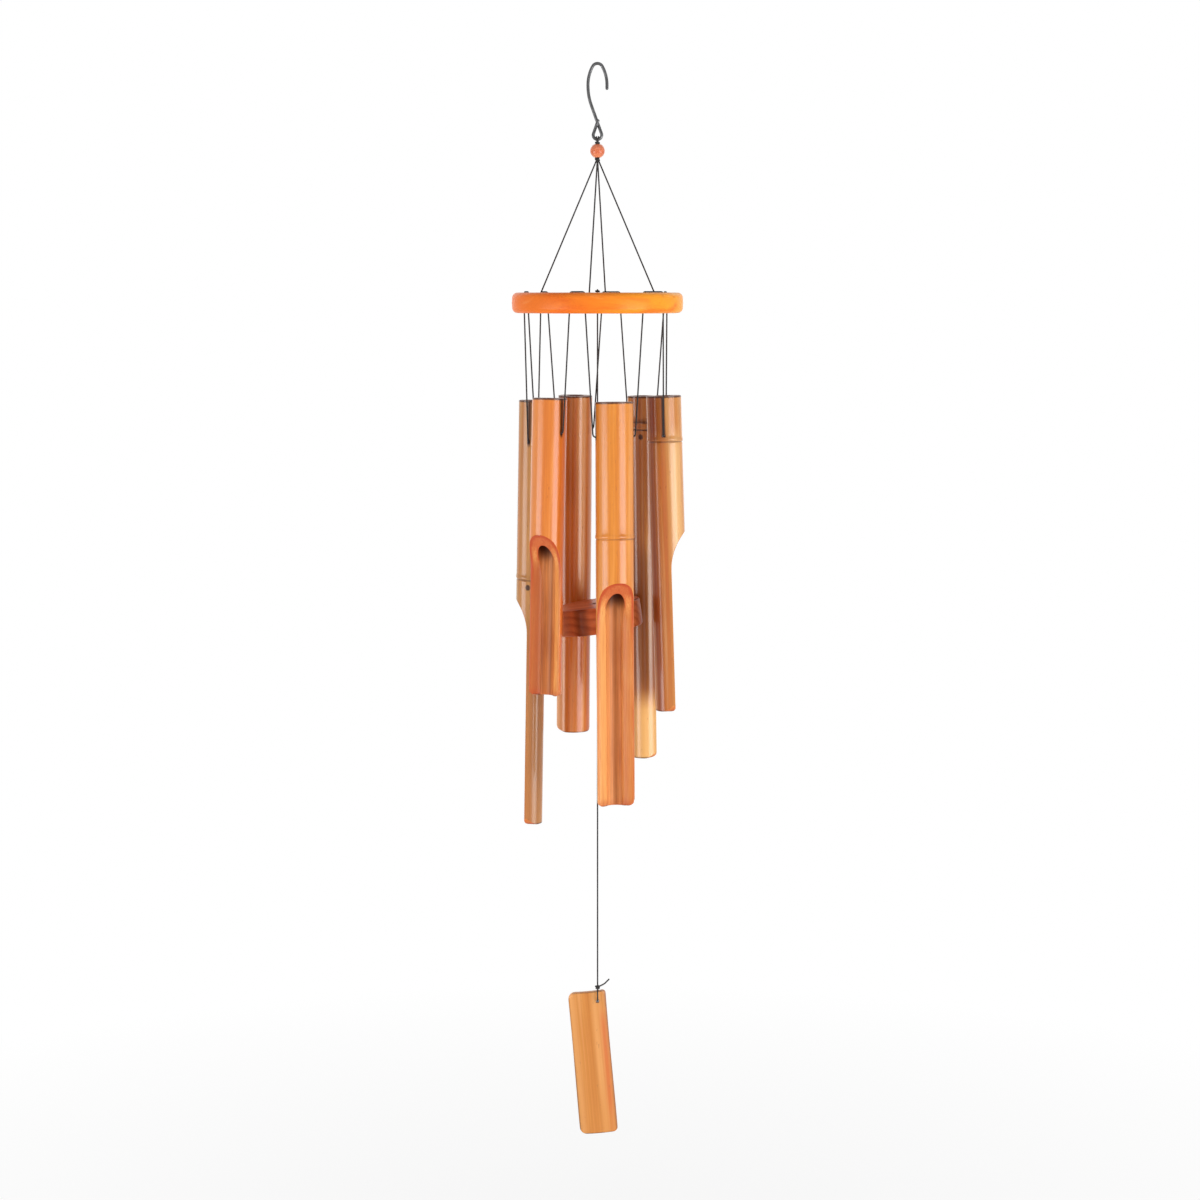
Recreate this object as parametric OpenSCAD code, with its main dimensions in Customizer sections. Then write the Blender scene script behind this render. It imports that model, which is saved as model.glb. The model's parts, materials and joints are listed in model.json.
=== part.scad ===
// Bamboo wind chime: six tongue-cut tubes hung from a laced wooden disc, with a striker and a sail.
// Millimetres, +Z up. The origin is where the top bend of the hook bears on whatever it hangs from.
// Front is -Y. Angles round the chime are counted from the front towards +X.

/* [Hook] */
// Diameter of the hook's wire
wire_d = 2; // [1.6:0.1:2.6]
// Inside radius of the hook's top bend
hook_r = 2.5; // [2:0.1:5]
// How far the hook's sides spread from upright below the top bend, in degrees
hook_spread = 27; // [15:1:32]
// Radius of the curves that bring both sides upright again
hook_side_r = 24; // [18:1:34]
// Straight length of the open arm below its curve
hook_arm = 2.2; // [1:0.1:12]
// Straight length of the shank below its curve
hook_shank = 0.6; // [0.4:0.1:10]
// Radius of the sweep that brings the shank in to the middle
hook_sweep_r = 36; // [24:1:45]
// Slant of the wire where it runs into the eye, in degrees
hook_slant = 20; // [15:1:24]
// Inside radius of the eye at the foot of the hook
eye_r = 1.7; // [1.6:0.1:3.5]

/* [Cord and bead] */
// Diameter of all the cord
cord_d = 1; // [0.8:0.1:1.2]
// Diameter of the bead
bead_d = 9.3; // [7:0.1:14]
// Turns of cord in the knot over the bead
upper_knot_turns = 1; // [1:1:3]
// Turns of cord in the knot under the bead
lower_knot_turns = 2; // [1:1:4]
// Turns of cord in each knot of the centre cord, and in the knots under the disc
centre_knot_turns = 2; // [2:1:4]

/* [Top disc] */
// Diameter of the disc
disc_d = 109; // [95:1:150]
// Thickness of the disc
disc_t = 13; // [9:0.5:20]
// Rounding of the disc's edges
disc_edge_r = 3.5; // [1:0.5:4]
// Height of the suspension cords, from the knot under the bead to the disc
suspension_h = 81.9; // [60:0.1:130]
// Distance from the disc's rim to the holes of the suspension cords
suspension_inset = 18; // [15:0.5:22]
// Turn of the first suspension hole from the front, in degrees
suspension_turn = -8; // [-12:1:-4]
// Distance from the disc's rim to the holes of the lacing
lacing_inset = 7.5; // [6:0.5:9]
// Half of the distance between the two holes that one tube hangs from
lacing_half_span = 18.5; // [16:0.1:21]

/* [All tubes] */
// Wall of the bamboo, as a share of the tube's diameter
tube_wall_share = 0.25; // [0.15:0.01:0.3]
// Diameter of the string holes
string_hole_d = 2.4; // [2:0.1:3.4]
// Height of the ridge at a node of the bamboo
node_ridge = 0.5; // [0.2:0.1:0.8]
// Thickness of the natural wall inside the bamboo at a node
septum_t = 3; // [1.5:0.5:5]
// Distance of the cut face from the middle of the tube, outwards
cut_offset = 1; // [-1:0.5:3]
// Radius of the hollow curve that runs from the tube into the cut face
cut_r = 32; // [20:1:45]
// Rounding of the tongue's lower corners
tongue_corner_r = 4; // [1:0.5:6]

/* [Tube 1, front] */
// Place of tube 1 round the chime from the front, in degrees
tube_1_angle = 14; // [10:1:18]
// Diameter of tube 1
tube_1_d = 24; // [17:0.5:26]
// Length of tube 1
tube_1_len = 256; // [200:1:320]
// Gap between the disc and the top of tube 1
tube_1_drop = 55; // [40:0.5:80]
// Distance from the top of tube 1 to its string holes
tube_1_hole = 22.5; // [15:0.5:35]
// Distance from the top of tube 1 to its node ring, 0 for none
tube_1_node = 84.5; // [0:0.5:100]
// Distance from the top of tube 1 to the start of its cut
tube_1_cut = 113; // [105:1:150]
// Turn of the cut of tube 1 from straight outwards, in degrees
tube_1_twist = 0; // [-25:1:25]

/* [Tube 2, right] */
// Place of tube 2 round the chime from the front, in degrees
tube_2_angle = 85; // [82:1:87]
// Diameter of tube 2
tube_2_d = 22.5; // [17:0.5:26]
// Length of tube 2
tube_2_len = 203; // [160:1:280]
// Gap between the disc and the top of tube 2
tube_2_drop = 52.5; // [40:0.5:80]
// Distance from the top of tube 2 to its string holes
tube_2_hole = 25.5; // [15:0.5:35]
// Distance from the top of tube 2 to its node ring, 0 for none
tube_2_node = 28; // [0:0.5:70]
// Distance from the top of tube 2 to the start of its cut
tube_2_cut = 87; // [75:1:120]
// Turn of the cut of tube 2 from straight outwards, in degrees
tube_2_twist = 9; // [-25:1:25]

/* [Tube 3, back right] */
// Place of tube 3 round the chime from the front, in degrees
tube_3_angle = 138; // [136:1:142]
// Diameter of tube 3
tube_3_d = 18.5; // [16:0.5:26]
// Length of tube 3
tube_3_len = 239; // [190:1:310]
// Gap between the disc and the top of tube 3
tube_3_drop = 54; // [40:0.5:80]
// Distance from the top of tube 3 to its string holes
tube_3_hole = 28; // [15:0.5:35]
// Distance from the top of tube 3 to its node ring, 0 for none
tube_3_node = 20.5; // [0:0.5:90]
// Distance from the top of tube 3 to the start of its cut
tube_3_cut = 109; // [95:1:145]
// Turn of the cut of tube 3 from straight outwards, in degrees
tube_3_twist = 0; // [-25:1:25]

/* [Tube 4, back left] */
// Place of tube 4 round the chime from the front, in degrees
tube_4_angle = 200; // [196:1:202]
// Diameter of tube 4
tube_4_d = 22.5; // [17:0.5:26]
// Length of tube 4
tube_4_len = 223; // [180:1:300]
// Gap between the disc and the top of tube 4
tube_4_drop = 54; // [40:0.5:80]
// Distance from the top of tube 4 to its string holes
tube_4_hole = 23; // [15:0.5:35]
// Distance from the top of tube 4 to its node ring, 0 for none
tube_4_node = 0; // [0:0.5:80]
// Distance from the top of tube 4 to the start of its cut
tube_4_cut = 102; // [85:1:135]
// Turn of the cut of tube 4 from straight outwards, in degrees
tube_4_twist = 0; // [-25:1:25]

/* [Tube 5, left] */
// Place of tube 5 round the chime from the front, in degrees
tube_5_angle = 255; // [253:1:257]
// Diameter of tube 5
tube_5_d = 19; // [16:0.5:26]
// Length of tube 5
tube_5_len = 277; // [220:1:340]
// Gap between the disc and the top of tube 5
tube_5_drop = 56; // [40:0.5:80]
// Distance from the top of tube 5 to its string holes
tube_5_hole = 27; // [15:0.5:35]
// Distance from the top of tube 5 to its node ring, 0 for none
tube_5_node = 114.5; // [0:0.5:120]
// Distance from the top of tube 5 to the start of its cut
tube_5_cut = 129; // [125:1:165]
// Turn of the cut of tube 5 from straight outwards, in degrees
tube_5_twist = 7; // [-25:1:25]

/* [Tube 6, front left] */
// Place of tube 6 round the chime from the front, in degrees
tube_6_angle = 315; // [311:1:319]
// Diameter of tube 6
tube_6_d = 22; // [17:0.5:26]
// Length of tube 6
tube_6_len = 189; // [150:1:260]
// Gap between the disc and the top of tube 6
tube_6_drop = 53; // [40:0.5:80]
// Distance from the top of tube 6 to its string holes
tube_6_hole = 22.5; // [15:0.5:35]
// Distance from the top of tube 6 to its node ring, 0 for none
tube_6_node = 0; // [0:0.5:70]
// Distance from the top of tube 6 to the start of its cut
tube_6_cut = 86; // [75:1:115]
// Turn of the cut of tube 6 from straight outwards, in degrees
tube_6_twist = 17; // [-25:1:25]

/* [Striker] */
// Gap that the striker would leave to the thickest tube, if that tube hung upright
striker_gap = 2.7; // [2:0.1:6]
// Thickness of the striker
striker_t = 17; // [10:0.5:24]
// Rounding of the striker's edges
striker_edge_r = 1.2; // [0.5:0.1:3]
// Distance from the underside of the disc to the middle of the striker
striker_drop = 195; // [150:1:240]
// Tilt of the striker on its cord, in degrees
striker_tilt = 8; // [4:0.5:10]

/* [Sail] */
// Width of the sail
sail_w = 24.5; // [20:0.5:40]
// Length of the sail
sail_len = 95.5; // [70:0.5:130]
// Thickness of the sail
sail_t = 4; // [2.5:0.1:6]
// Radius of the culm that the sail was split from
sail_curve_r = 45; // [35:1:80]
// Rounding of the sail's left corners
sail_left_corner_r = 4.5; // [1:0.5:8]
// Rounding of the sail's right corners
sail_right_corner_r = 2.5; // [1:0.5:8]
// Distance from the sail's top edge to its hole
sail_hole_top = 6.5; // [5:0.5:10]
// Distance from the sail's right edge to its hole
sail_hole_side = 5.5; // [5:0.5:10]
// Length of the cord from the striker's knot to the sail's knot
sail_cord_len = 233; // [150:1:300]
// Length of the free tail of the sail's knot
sail_tail = 9.5; // [6:0.5:20]
// Rise of that tail from level, in degrees
sail_tail_rise = 36; // [25:1:60]
// Tilt of the sail as it hangs, in degrees
sail_tilt = 5; // [0:0.5:8]

/* [Clearances] */
// Room all round a cord that passes through the disc
lacing_fit = 0.6; // [0.4:0.05:0.8]
// Wood between the countersinks of two neighbouring tubes' holes
hole_land = 0.5; // [0.4:0.1:0.8]
// Room round the strands in the bead
bead_fit = 0.25; // [0.1:0.05:0.5]
// Room between a cord and the piece that rests on it or bears on it
seat_fit = 0.1; // [0.05:0.05:0.2]
// Room between the hanger cord and the wire of the eye
loop_fit = 0.15; // [0.1:0.05:0.3]
// Gap where a cord flexes at a knot or a hole
flex_gap = 0.35; // [0.25:0.05:0.5]
// Room between a hanging cord and the side of what hangs in it
leg_fit = 0.25; // [0.15:0.05:0.5]
// Room round the cord where the striker tips on it
tilt_fit = 0.4; // [0.2:0.05:0.8]

/* [Hidden] */
$fn = 64;
wide_fn = 180;
// How far a cut runs past the faces that it opens
over = 1;
// A straight run is a trace thinner than the bends at its ends, and ends a trace inside them
run_ease = 0.02;
run_lap = 0.1;
// The straight run of wire between the hook's top bend and the curves of its sides
bend_run = 0.6;
tube_count = 6;
TUBES = [1 : tube_count];
// Four suspension cords, a quarter turn apart
quarter = 90;
QUARTERS = [1 : 4];
SIDES = [-1, 1];

// Colours, as the stained wood, bamboo, cord and wire look
STEEL = "dimgray";
CORD = "#38383a";
DISC_WOOD = "#f08c34";
BEAD_WOOD = "#dc7048";
STRIKER_WOOD = "#7c3020";
SAIL_BAMBOO = "#e0984e";
TUBE_BAMBOO = ["#e09a4c", "#dca864", "#a86034", "#a85a2c", "#cca468", "#e08c48"];

// The six tubes' sizes, in order round the chime
TUBE_ANGLE = [tube_1_angle, tube_2_angle, tube_3_angle, tube_4_angle, tube_5_angle, tube_6_angle];
TUBE_D = [tube_1_d, tube_2_d, tube_3_d, tube_4_d, tube_5_d, tube_6_d];
TUBE_LEN = [tube_1_len, tube_2_len, tube_3_len, tube_4_len, tube_5_len, tube_6_len];
TUBE_DROP = [tube_1_drop, tube_2_drop, tube_3_drop, tube_4_drop, tube_5_drop, tube_6_drop];
TUBE_HOLE = [tube_1_hole, tube_2_hole, tube_3_hole, tube_4_hole, tube_5_hole, tube_6_hole];
TUBE_NODE = [tube_1_node, tube_2_node, tube_3_node, tube_4_node, tube_5_node, tube_6_node];
TUBE_CUT = [tube_1_cut, tube_2_cut, tube_3_cut, tube_4_cut, tube_5_cut, tube_6_cut];
TUBE_TWIST = [tube_1_twist, tube_2_twist, tube_3_twist, tube_4_twist, tube_5_twist, tube_6_twist];

// Hook, in its own plane: x to the right, height up
hook_mid_r = hook_r + wire_d / 2;
bend_end = [hook_mid_r * cos(hook_spread), hook_mid_r * sin(hook_spread) - hook_r, 0];
side_start = bend_end + bend_run * [sin(hook_spread), -cos(hook_spread), 0];
side_centre = side_start - hook_side_r * [cos(hook_spread), sin(hook_spread), 0];
// Where both sides are upright
upright = side_centre + [hook_side_r, 0, 0];
hook_side = upright.x - hook_sweep_r * (1 - cos(hook_slant));
sweep_start = upright.y - hook_shank;
sweep_end = sweep_start - hook_sweep_r * sin(hook_slant);
crossing_z = sweep_end - hook_side / tan(hook_slant);
eye_mid_r = eye_r + wire_d / 2;
eye_z = crossing_z - eye_mid_r / sin(hook_slant);
eye_bottom = eye_z - eye_mid_r;
// Length of the eye's free end, which stops where it meets the shank
eye_end = eye_mid_r / tan(hook_slant) - (wire_d + seat_fit) / sin(2 * hook_slant);

// Cord, knots and bead, down from the eye
cord_bend_r = 2 * cord_d;
strand_r = cord_d / sqrt(2) + seat_fit / 2;
bundle_d = 2 * strand_r + cord_d;
bead_bore = bundle_d + 2 * bead_fit;
loop_r = (wire_d + cord_d) / 2 + loop_fit;
upper_knot_z = eye_bottom - loop_r;
bead_top = upper_knot_z - upper_knot_turns * cord_d - seat_fit;
// The bore takes a cap off each end of the ball, so the bead is that much shorter than its diameter
bead_h = sqrt(pow(bead_d, 2) - pow(bead_bore, 2));
bead_z = bead_top - bead_h / 2;
lower_knot_z = bead_z - bead_h / 2 - seat_fit;
canopy_z = lower_knot_z - lower_knot_turns * cord_d - flex_gap - cord_d / 2;

// Disc and its holes
disc_top = canopy_z - suspension_h;
disc_bottom = disc_top - disc_t;
hole_d = cord_d + 2 * lacing_fit;
suspension_r = disc_d / 2 - suspension_inset;
lacing_r = disc_d / 2 - lacing_inset;
lacing_angle = asin(lacing_half_span / lacing_r);
over_disc = disc_top + cord_d / 2 + seat_fit;
// The lacing's holes are countersunk on top, as wide as the cord bends over their edge
hole_lip = cord_bend_r - hole_d / 2;
// Each suspension cord ends in a knot, which lies in a recess under the disc
foot_knot_core = hole_d;
recess_d = foot_knot_core + cord_d + 2 * lacing_fit;
recess_h = (centre_knot_turns + 1) * cord_d + seat_fit;
// Turn from one tube to the next that their holes need, so that land is left between them
stitch_room = hole_d + 2 * hole_lip + hole_land;
needed_turn = 2 * lacing_angle + 2 * asin(stitch_room / (2 * lacing_r));
foot_knot_z = disc_bottom + recess_h - seat_fit;
// The tube cords flex just inside the holes, where the lacing's runs through the disc end
flex_z = disc_bottom + cord_d / 2;
lacing_end = flex_z + cord_d / 2 + flex_gap;

// Tubes and their cords
tube_ring_r = sqrt(pow(lacing_r, 2) - pow(lacing_half_span, 2));
hole_rise = (string_hole_d - cord_d) / 2 - seat_fit;
ridge_round = 3 * node_ridge;
// How far a hanging cord stands off what hangs in it, so that its bend clears the edge of the hole
bend_reach = cord_bend_r - cord_d / 2;
leg_stand = max(
    node_ridge + leg_fit + cord_d / 2,
    cord_bend_r - sqrt(pow(bend_reach - seat_fit / 2, 2) - pow(bend_reach - seat_fit, 2))
);

function tube_r(i) = TUBE_D[i - 1] / 2;
function bore_r(i) = tube_r(i) - tube_wall_share * TUBE_D[i - 1];
function next_tube(i) = i % tube_count + 1;
// Tubes that are too close for their holes move towards even places round the disc
even_turn = 360 / tube_count;
closest_turn = min([
    for (i = [1:tube_count]) TUBE_ANGLE[next_tube(i) - 1] - TUBE_ANGLE[i - 1] + (i == tube_count ? 360 : 0)
]);
uneven_share = closest_turn >= needed_turn ? 1
    : max(0, (even_turn - needed_turn) / (even_turn - closest_turn));
function even_angle(i) = tube_1_angle + (i - 1) * even_turn;
function tube_angle(i) = even_angle(i) + uneven_share * (TUBE_ANGLE[i - 1] - even_angle(i));
// Turn from the last hole of one tube to the first hole of the next
function stitch_turn(i) =
    tube_angle(next_tube(i)) - tube_angle(i) - 2 * lacing_angle + (i == tube_count ? 360 : 0);
function stitch_bend_r(i) = min(cord_bend_r, lacing_r * sin(stitch_turn(i) / 2) - run_lap);
function cord_z(i) = disc_bottom - TUBE_DROP[i - 1] - TUBE_HOLE[i - 1] + hole_rise;
function tube_top(i) = TUBE_HOLE[i - 1] - hole_rise;
function leg_foot(i) = tube_r(i) + leg_stand;
// Length of the hollow curve at the start of the cut
function cut_run(i) = sqrt(pow(cut_r, 2) - pow(cut_r - (tube_r(i) - cut_offset), 2));
// A tube hangs with its weight under the string. Its tongue lies inwards, so its foot leans out.
function whole_len(i) = TUBE_CUT[i - 1] + cut_run(i) / 2;
function tongue_len(i) = TUBE_LEN[i - 1] - whole_len(i);
function tongue_inset(i) =
    4 / (3 * PI) * (pow(tube_r(i), 3) - pow(bore_r(i), 3)) / (pow(tube_r(i), 2) - pow(bore_r(i), 2));
function weight_drop(i) =
    whole_len(i) * (whole_len(i) / 2 - TUBE_HOLE[i - 1])
    + tongue_len(i) / 2 * (whole_len(i) + tongue_len(i) / 2 - TUBE_HOLE[i - 1]);
function lean(i) = atan(tongue_len(i) / 2 * tongue_inset(i) * cos(TUBE_TWIST[i - 1]) / weight_drop(i));

// Striker
striker_r = tube_ring_r - max(TUBE_D) / 2 - striker_gap;
striker_z = disc_bottom - striker_drop;
striker_bore = striker_t * tan(striker_tilt) + cord_d / cos(striker_tilt) + 2 * tilt_fit;
striker_knot_core = striker_bore - cord_d / 2;
striker_knot_r = (striker_knot_core + cord_d) / 2;
striker_knot_z = striker_z - striker_t / 2 / cos(striker_tilt)
    - striker_knot_r * tan(striker_tilt) - seat_fit;
stop_knot_core = hole_d;
stop_knot_z = disc_top + seat_fit + centre_knot_turns * cord_d;

// Sail
sail_line_z = striker_knot_z - centre_knot_turns * cord_d - flex_gap - cord_d / 2;
sail_knot_core = 2 * cord_d;
sail_knot_z = sail_line_z - sail_cord_len;
sail_knot_foot = sail_knot_z - centre_knot_turns * cord_d;
// The sail's edge sweeps under the knot as it tips, so the knot keeps clear of its upper corner
sail_loop_z = sail_knot_foot - seat_fit - flex_gap - sail_hole_top - hole_rise;
// How far the bowed section falls back at its edges, and beside the hole
sail_bow = sail_curve_r - sqrt(pow(sail_curve_r, 2) - pow(sail_w / 2, 2));
sail_block_t = sail_t + 2 * sail_bow + 2 * over;
sail_hole_bow = sail_curve_r
    - sqrt(pow(sail_curve_r, 2) - pow(sail_w / 2 - sail_hole_side + string_hole_d, 2));
sail_front_leg = -(sail_t + sail_bow) / 2 - leg_stand;
sail_back_leg = (sail_t - sail_bow) / 2 + sail_hole_bow + leg_stand;
sail_leg_top = sail_loop_z + sail_hole_top + cord_d;

// Places a piece at the given angle round the chime, with its local +X outwards
module at_angle(angle) {
    rotate([0, 0, angle - 90]) children();
}

// A point at the given angle and distance from the middle
function around(angle, r, z) = [r * sin(angle), -r * cos(angle), z];

function unit(v) = v / norm(v);

// A straight round run between two points
module rod(a, b, d) {
    v = b - a;
    translate(a)
        rotate([0, acos(v.z / norm(v)), atan2(v.y, v.x)])
            cylinder(d = d, h = norm(v));
}

// How far the path turns at one of its points
function turn_at(path, k) = acos(unit(path[k] - path[k - 1]) * unit(path[k + 1] - path[k]));

// How far from a point of the path its straight run ends: just inside the bend there
function run_end(path, k, bend_r) =
    k == 0 || k == len(path) - 1 ? 0 : bend_r * tan(turn_at(path, k) / 2) - run_lap;

// The round bend of a path at the middle one of three points
module bend(a, b, c, bend_r, d) {
    ahead = unit(b - a);
    next = unit(c - b);
    turn = acos(ahead * next);
    axis = unit(cross(ahead, next));
    out = cross(ahead, axis);
    centre = b + unit(next - ahead) * bend_r / cos(turn / 2);
    multmatrix([
        [out.x, ahead.x, axis.x, centre.x],
        [out.y, ahead.y, axis.y, centre.y],
        [out.z, ahead.z, axis.z, centre.z],
        [0, 0, 0, 1]
    ])
        rotate_extrude(angle = turn) translate([bend_r, 0]) circle(d = d);
}

// A round length of cord or wire along the given points, bent at each point between its ends
module bent_along(path, bend_r, d) {
    for (k = [1 : len(path) - 1]) {
        ahead = unit(path[k] - path[k - 1]);
        rod(
            path[k - 1] + run_end(path, k - 1, bend_r) * ahead,
            path[k] - run_end(path, k, bend_r) * ahead,
            d - run_ease
        );
    }
    for (k = [1 : 1 : len(path) - 2])
        bend(path[k - 1], path[k], path[k + 1], bend_r, d);
}

module cord_along(path) {
    bent_along(path, cord_bend_r, cord_d);
}

// A ring of round section in the XY plane
module ring(r, d) {
    rotate_extrude() translate([r, 0]) circle(d = d);
}

// A knot: turns of cord lying on each other round a core, down from its top
module knot(core_d, turns) {
    translate([0, 0, -turns * cord_d])
        cylinder(d = core_d, h = turns * cord_d);
    for (k = [0 : turns - 1])
        translate([0, 0, -(k + 0.5) * cord_d]) ring(core_d / 2, cord_d);
}

// A round of wood with rounded edges, its top face at zero
module round_slab(r, t, edge_r) {
    rotate_extrude() translate([0, -t]) {
        square([r - edge_r, t]);
        translate([0, edge_r]) square([r, t - 2 * edge_r]);
        for (y = [edge_r, t - edge_r])
            translate([r - edge_r, y]) circle(edge_r);
    }
}

// An arc of the hook's wire in the XY plane
module wire_arc(r, from, to) {
    rotate([0, 0, from])
        rotate_extrude(angle = to - from)
            translate([r, 0]) circle(d = wire_d);
}

// A straight run of the hook's wire, carried a little into the arcs at its ends
module wire_run(a, b, lap_a, lap_b) {
    ahead = unit(b - a);
    rod(a - lap_a * ahead, b + lap_b * ahead, wire_d - run_ease);
}

module wire_tip(place) {
    translate(place) sphere(d = wire_d - 2 * run_ease);
}

module hook() {
    tip = upright - [0, hook_arm, 0];
    shank_top = [-upright.x, upright.y, 0];
    eye_right = [eye_mid_r * cos(hook_slant), eye_z + eye_mid_r * sin(hook_slant), 0];
    eye_left = [-eye_right.x, eye_right.y, 0];
    eye_tip = eye_left + eye_end * [sin(hook_slant), cos(hook_slant), 0];
    color(STEEL) rotate([90, 0, 0]) {
        // The open arm, the top bend and the curves of its sides
        wire_tip(tip);
        wire_run(tip, upright, 0, run_lap);
        translate([0, -hook_r, 0]) wire_arc(hook_mid_r, hook_spread, 180 - hook_spread);
        hook_side_curve();
        mirror([1, 0, 0]) hook_side_curve();
        // The shank and its sweep to the middle
        wire_run(shank_top, [shank_top.x, sweep_start, 0], run_lap, run_lap);
        translate([hook_sweep_r - upright.x, sweep_start, 0])
            wire_arc(hook_sweep_r, 180, 180 + hook_slant);
        wire_run([-hook_side, sweep_end, 0], eye_right, run_lap, run_lap);
        // The eye, and its end that comes back to the shank
        translate([0, eye_z, 0]) wire_arc(eye_mid_r, -180 - hook_slant, hook_slant);
        wire_run(eye_left, eye_tip, run_lap, 0);
        wire_tip(eye_tip);
    }
}

// From the top bend to where the side is upright, on the right side
module hook_side_curve() {
    wire_run(bend_end, side_start, run_lap, run_lap);
    translate(side_centre) wire_arc(hook_side_r, 0, hook_spread);
}

module hanger_cord() {
    color(CORD) {
        translate([0, 0, eye_bottom]) rotate([0, 90, 0]) ring(loop_r, cord_d);
        translate([0, 0, upper_knot_z]) knot(bundle_d, upper_knot_turns);
        for (k = QUARTERS)
            rod(
                around(suspension_turn + quarter * k, strand_r, lower_knot_z - cord_d / 2),
                around(suspension_turn + quarter * k, strand_r, upper_knot_z - cord_d / 2),
                cord_d - run_ease
            );
        translate([0, 0, lower_knot_z]) knot(bundle_d, lower_knot_turns);
    }
}

module bead() {
    color(BEAD_WOOD) translate([0, 0, bead_z])
        difference() {
            sphere(d = bead_d);
            cylinder(d = bead_bore, h = bead_d, center = true);
        }
}

// A cord from the knot under the bead down through the disc, to its own knot in the disc's underside
module suspension_cord(k) {
    angle = suspension_turn + quarter * k;
    color(CORD) {
        cord_along([
            around(angle, strand_r, canopy_z),
            around(angle, suspension_r, disc_top),
            around(angle, suspension_r, foot_knot_z - cord_d)
        ]);
        translate(around(angle, suspension_r, foot_knot_z)) knot(foot_knot_core, centre_knot_turns);
    }
}

module top_disc() {
    color(DISC_WOOD) difference() {
        translate([0, 0, disc_top]) round_slab(disc_d / 2, disc_t, disc_edge_r);
        disc_hole([0, 0]);
        for (k = QUARTERS) {
            place = around(suspension_turn + quarter * k, suspension_r, 0);
            disc_hole(place);
            translate([place.x, place.y, disc_bottom - over]) cylinder(d = recess_d, h = recess_h + over);
        }
        for (i = TUBES, s = SIDES) {
            place = around(tube_angle(i) + s * lacing_angle, lacing_r, 0);
            disc_hole(place);
            translate([place.x, place.y, disc_top - hole_lip])
                cylinder(d1 = hole_d, d2 = hole_d + 4 * hole_lip, h = 2 * hole_lip);
        }
    }
}

module disc_hole(place) {
    translate([place.x, place.y, disc_bottom - over]) cylinder(d = hole_d, h = disc_t + 2 * over);
}

// The stitches over the disc, each from one tube's hole to the next tube's
module lacing_cord() {
    color(CORD) for (i = TUBES) {
        from = tube_angle(i) + lacing_angle;
        to = from + stitch_turn(i);
        bent_along([
            around(from, lacing_r, lacing_end + cord_d / 2),
            around(from, lacing_r, over_disc),
            around(to, lacing_r, over_disc),
            around(to, lacing_r, lacing_end + cord_d / 2)
        ], stitch_bend_r(i), cord_d);
    }
}

// Two legs from the disc's holes, and the run through the tube between them
module tube_cord(i) {
    color(CORD) at_angle(tube_angle(i)) translate([tube_ring_r, 0, 0])
        cord_along([
            [0, -lacing_half_span, flex_z],
            [0, -leg_foot(i), cord_z(i)],
            [0, leg_foot(i), cord_z(i)],
            [0, lacing_half_span, flex_z]
        ]);
}

module tube(i) {
    color(TUBE_BAMBOO[i - 1]) at_angle(tube_angle(i))
        translate([tube_ring_r, 0, cord_z(i)])
            rotate([0, -lean(i), 0])
                difference() {
                    rotate([0, 0, TUBE_TWIST[i - 1]])
                        difference() {
                            culm(i);
                            tongue_cut(i);
                            tongue_corners(i);
                        }
                    translate([0, 0, -hole_rise])
                        rotate([90, 0, 0])
                            cylinder(d = string_hole_d, h = 2 * (tube_r(i) + over), center = true);
                }
}

// A length of bamboo about its string hole, hollow but for the wall at its node
module culm(i) {
    r = tube_r(i);
    top = tube_top(i);
    length = TUBE_LEN[i - 1];
    node_z = top - TUBE_NODE[i - 1];
    has_node = TUBE_NODE[i - 1] > 0;
    difference() {
        union() {
            translate([0, 0, top - length]) cylinder(r = r, h = length);
            if (has_node)
                translate([0, 0, node_z]) ring(r + node_ridge - ridge_round, 2 * ridge_round);
        }
        difference() {
            translate([0, 0, top - length - over]) cylinder(r = bore_r(i), h = length + 2 * over);
            if (has_node)
                translate([0, 0, node_z - septum_t / 2]) cylinder(r = r, h = septum_t);
        }
    }
}

// What is cut away on the outer side, down to the tongue
module tongue_cut(i) {
    r = tube_r(i);
    start = tube_top(i) - TUBE_CUT[i - 1];
    face_top = start - cut_run(i);
    foot = tube_top(i) - TUBE_LEN[i - 1] - over;
    translate([cut_offset + cut_r, 0, face_top])
        rotate([90, 0, 0]) cylinder(r = cut_r, h = 2 * (r + over), center = true, $fn = wide_fn);
    translate([cut_offset, -r - over, foot]) cube([r - cut_offset + over, 2 * (r + over), face_top - foot]);
}

// What is taken off the lower corners of the tongue
module tongue_corners(i) {
    r = tube_r(i);
    foot = tube_top(i) - TUBE_LEN[i - 1];
    for (s = SIDES)
        translate([0, s * (r - tongue_corner_r), foot + tongue_corner_r])
            rotate([90, 0, 90])
                linear_extrude(2 * (r + over), center = true)
                    difference() {
                        translate([s > 0 ? 0 : -2 * tongue_corner_r, -2 * tongue_corner_r])
                            square(2 * tongue_corner_r);
                        circle(tongue_corner_r);
                    }
}

module striker_stop_knot() {
    color(CORD) translate([0, 0, stop_knot_z]) difference() {
        knot(stop_knot_core, centre_knot_turns);
        translate([0, 0, -centre_knot_turns * cord_d - over])
            cylinder(d = cord_d + 2 * seat_fit, h = centre_knot_turns * cord_d + 2 * over);
    }
}

module striker_cord() {
    color(CORD) rod([0, 0, striker_knot_z], [0, 0, stop_knot_z], cord_d);
}

module striker() {
    color(STRIKER_WOOD) translate([0, 0, striker_z])
        rotate([0, -striker_tilt, 0])
            difference() {
                translate([0, 0, striker_t / 2]) round_slab(striker_r, striker_t, striker_edge_r);
                cylinder(d = striker_bore, h = striker_t + 2 * over, center = true);
            }
}

module striker_knot() {
    color(CORD) translate([0, 0, striker_knot_z]) knot(striker_knot_core, centre_knot_turns);
}

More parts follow.
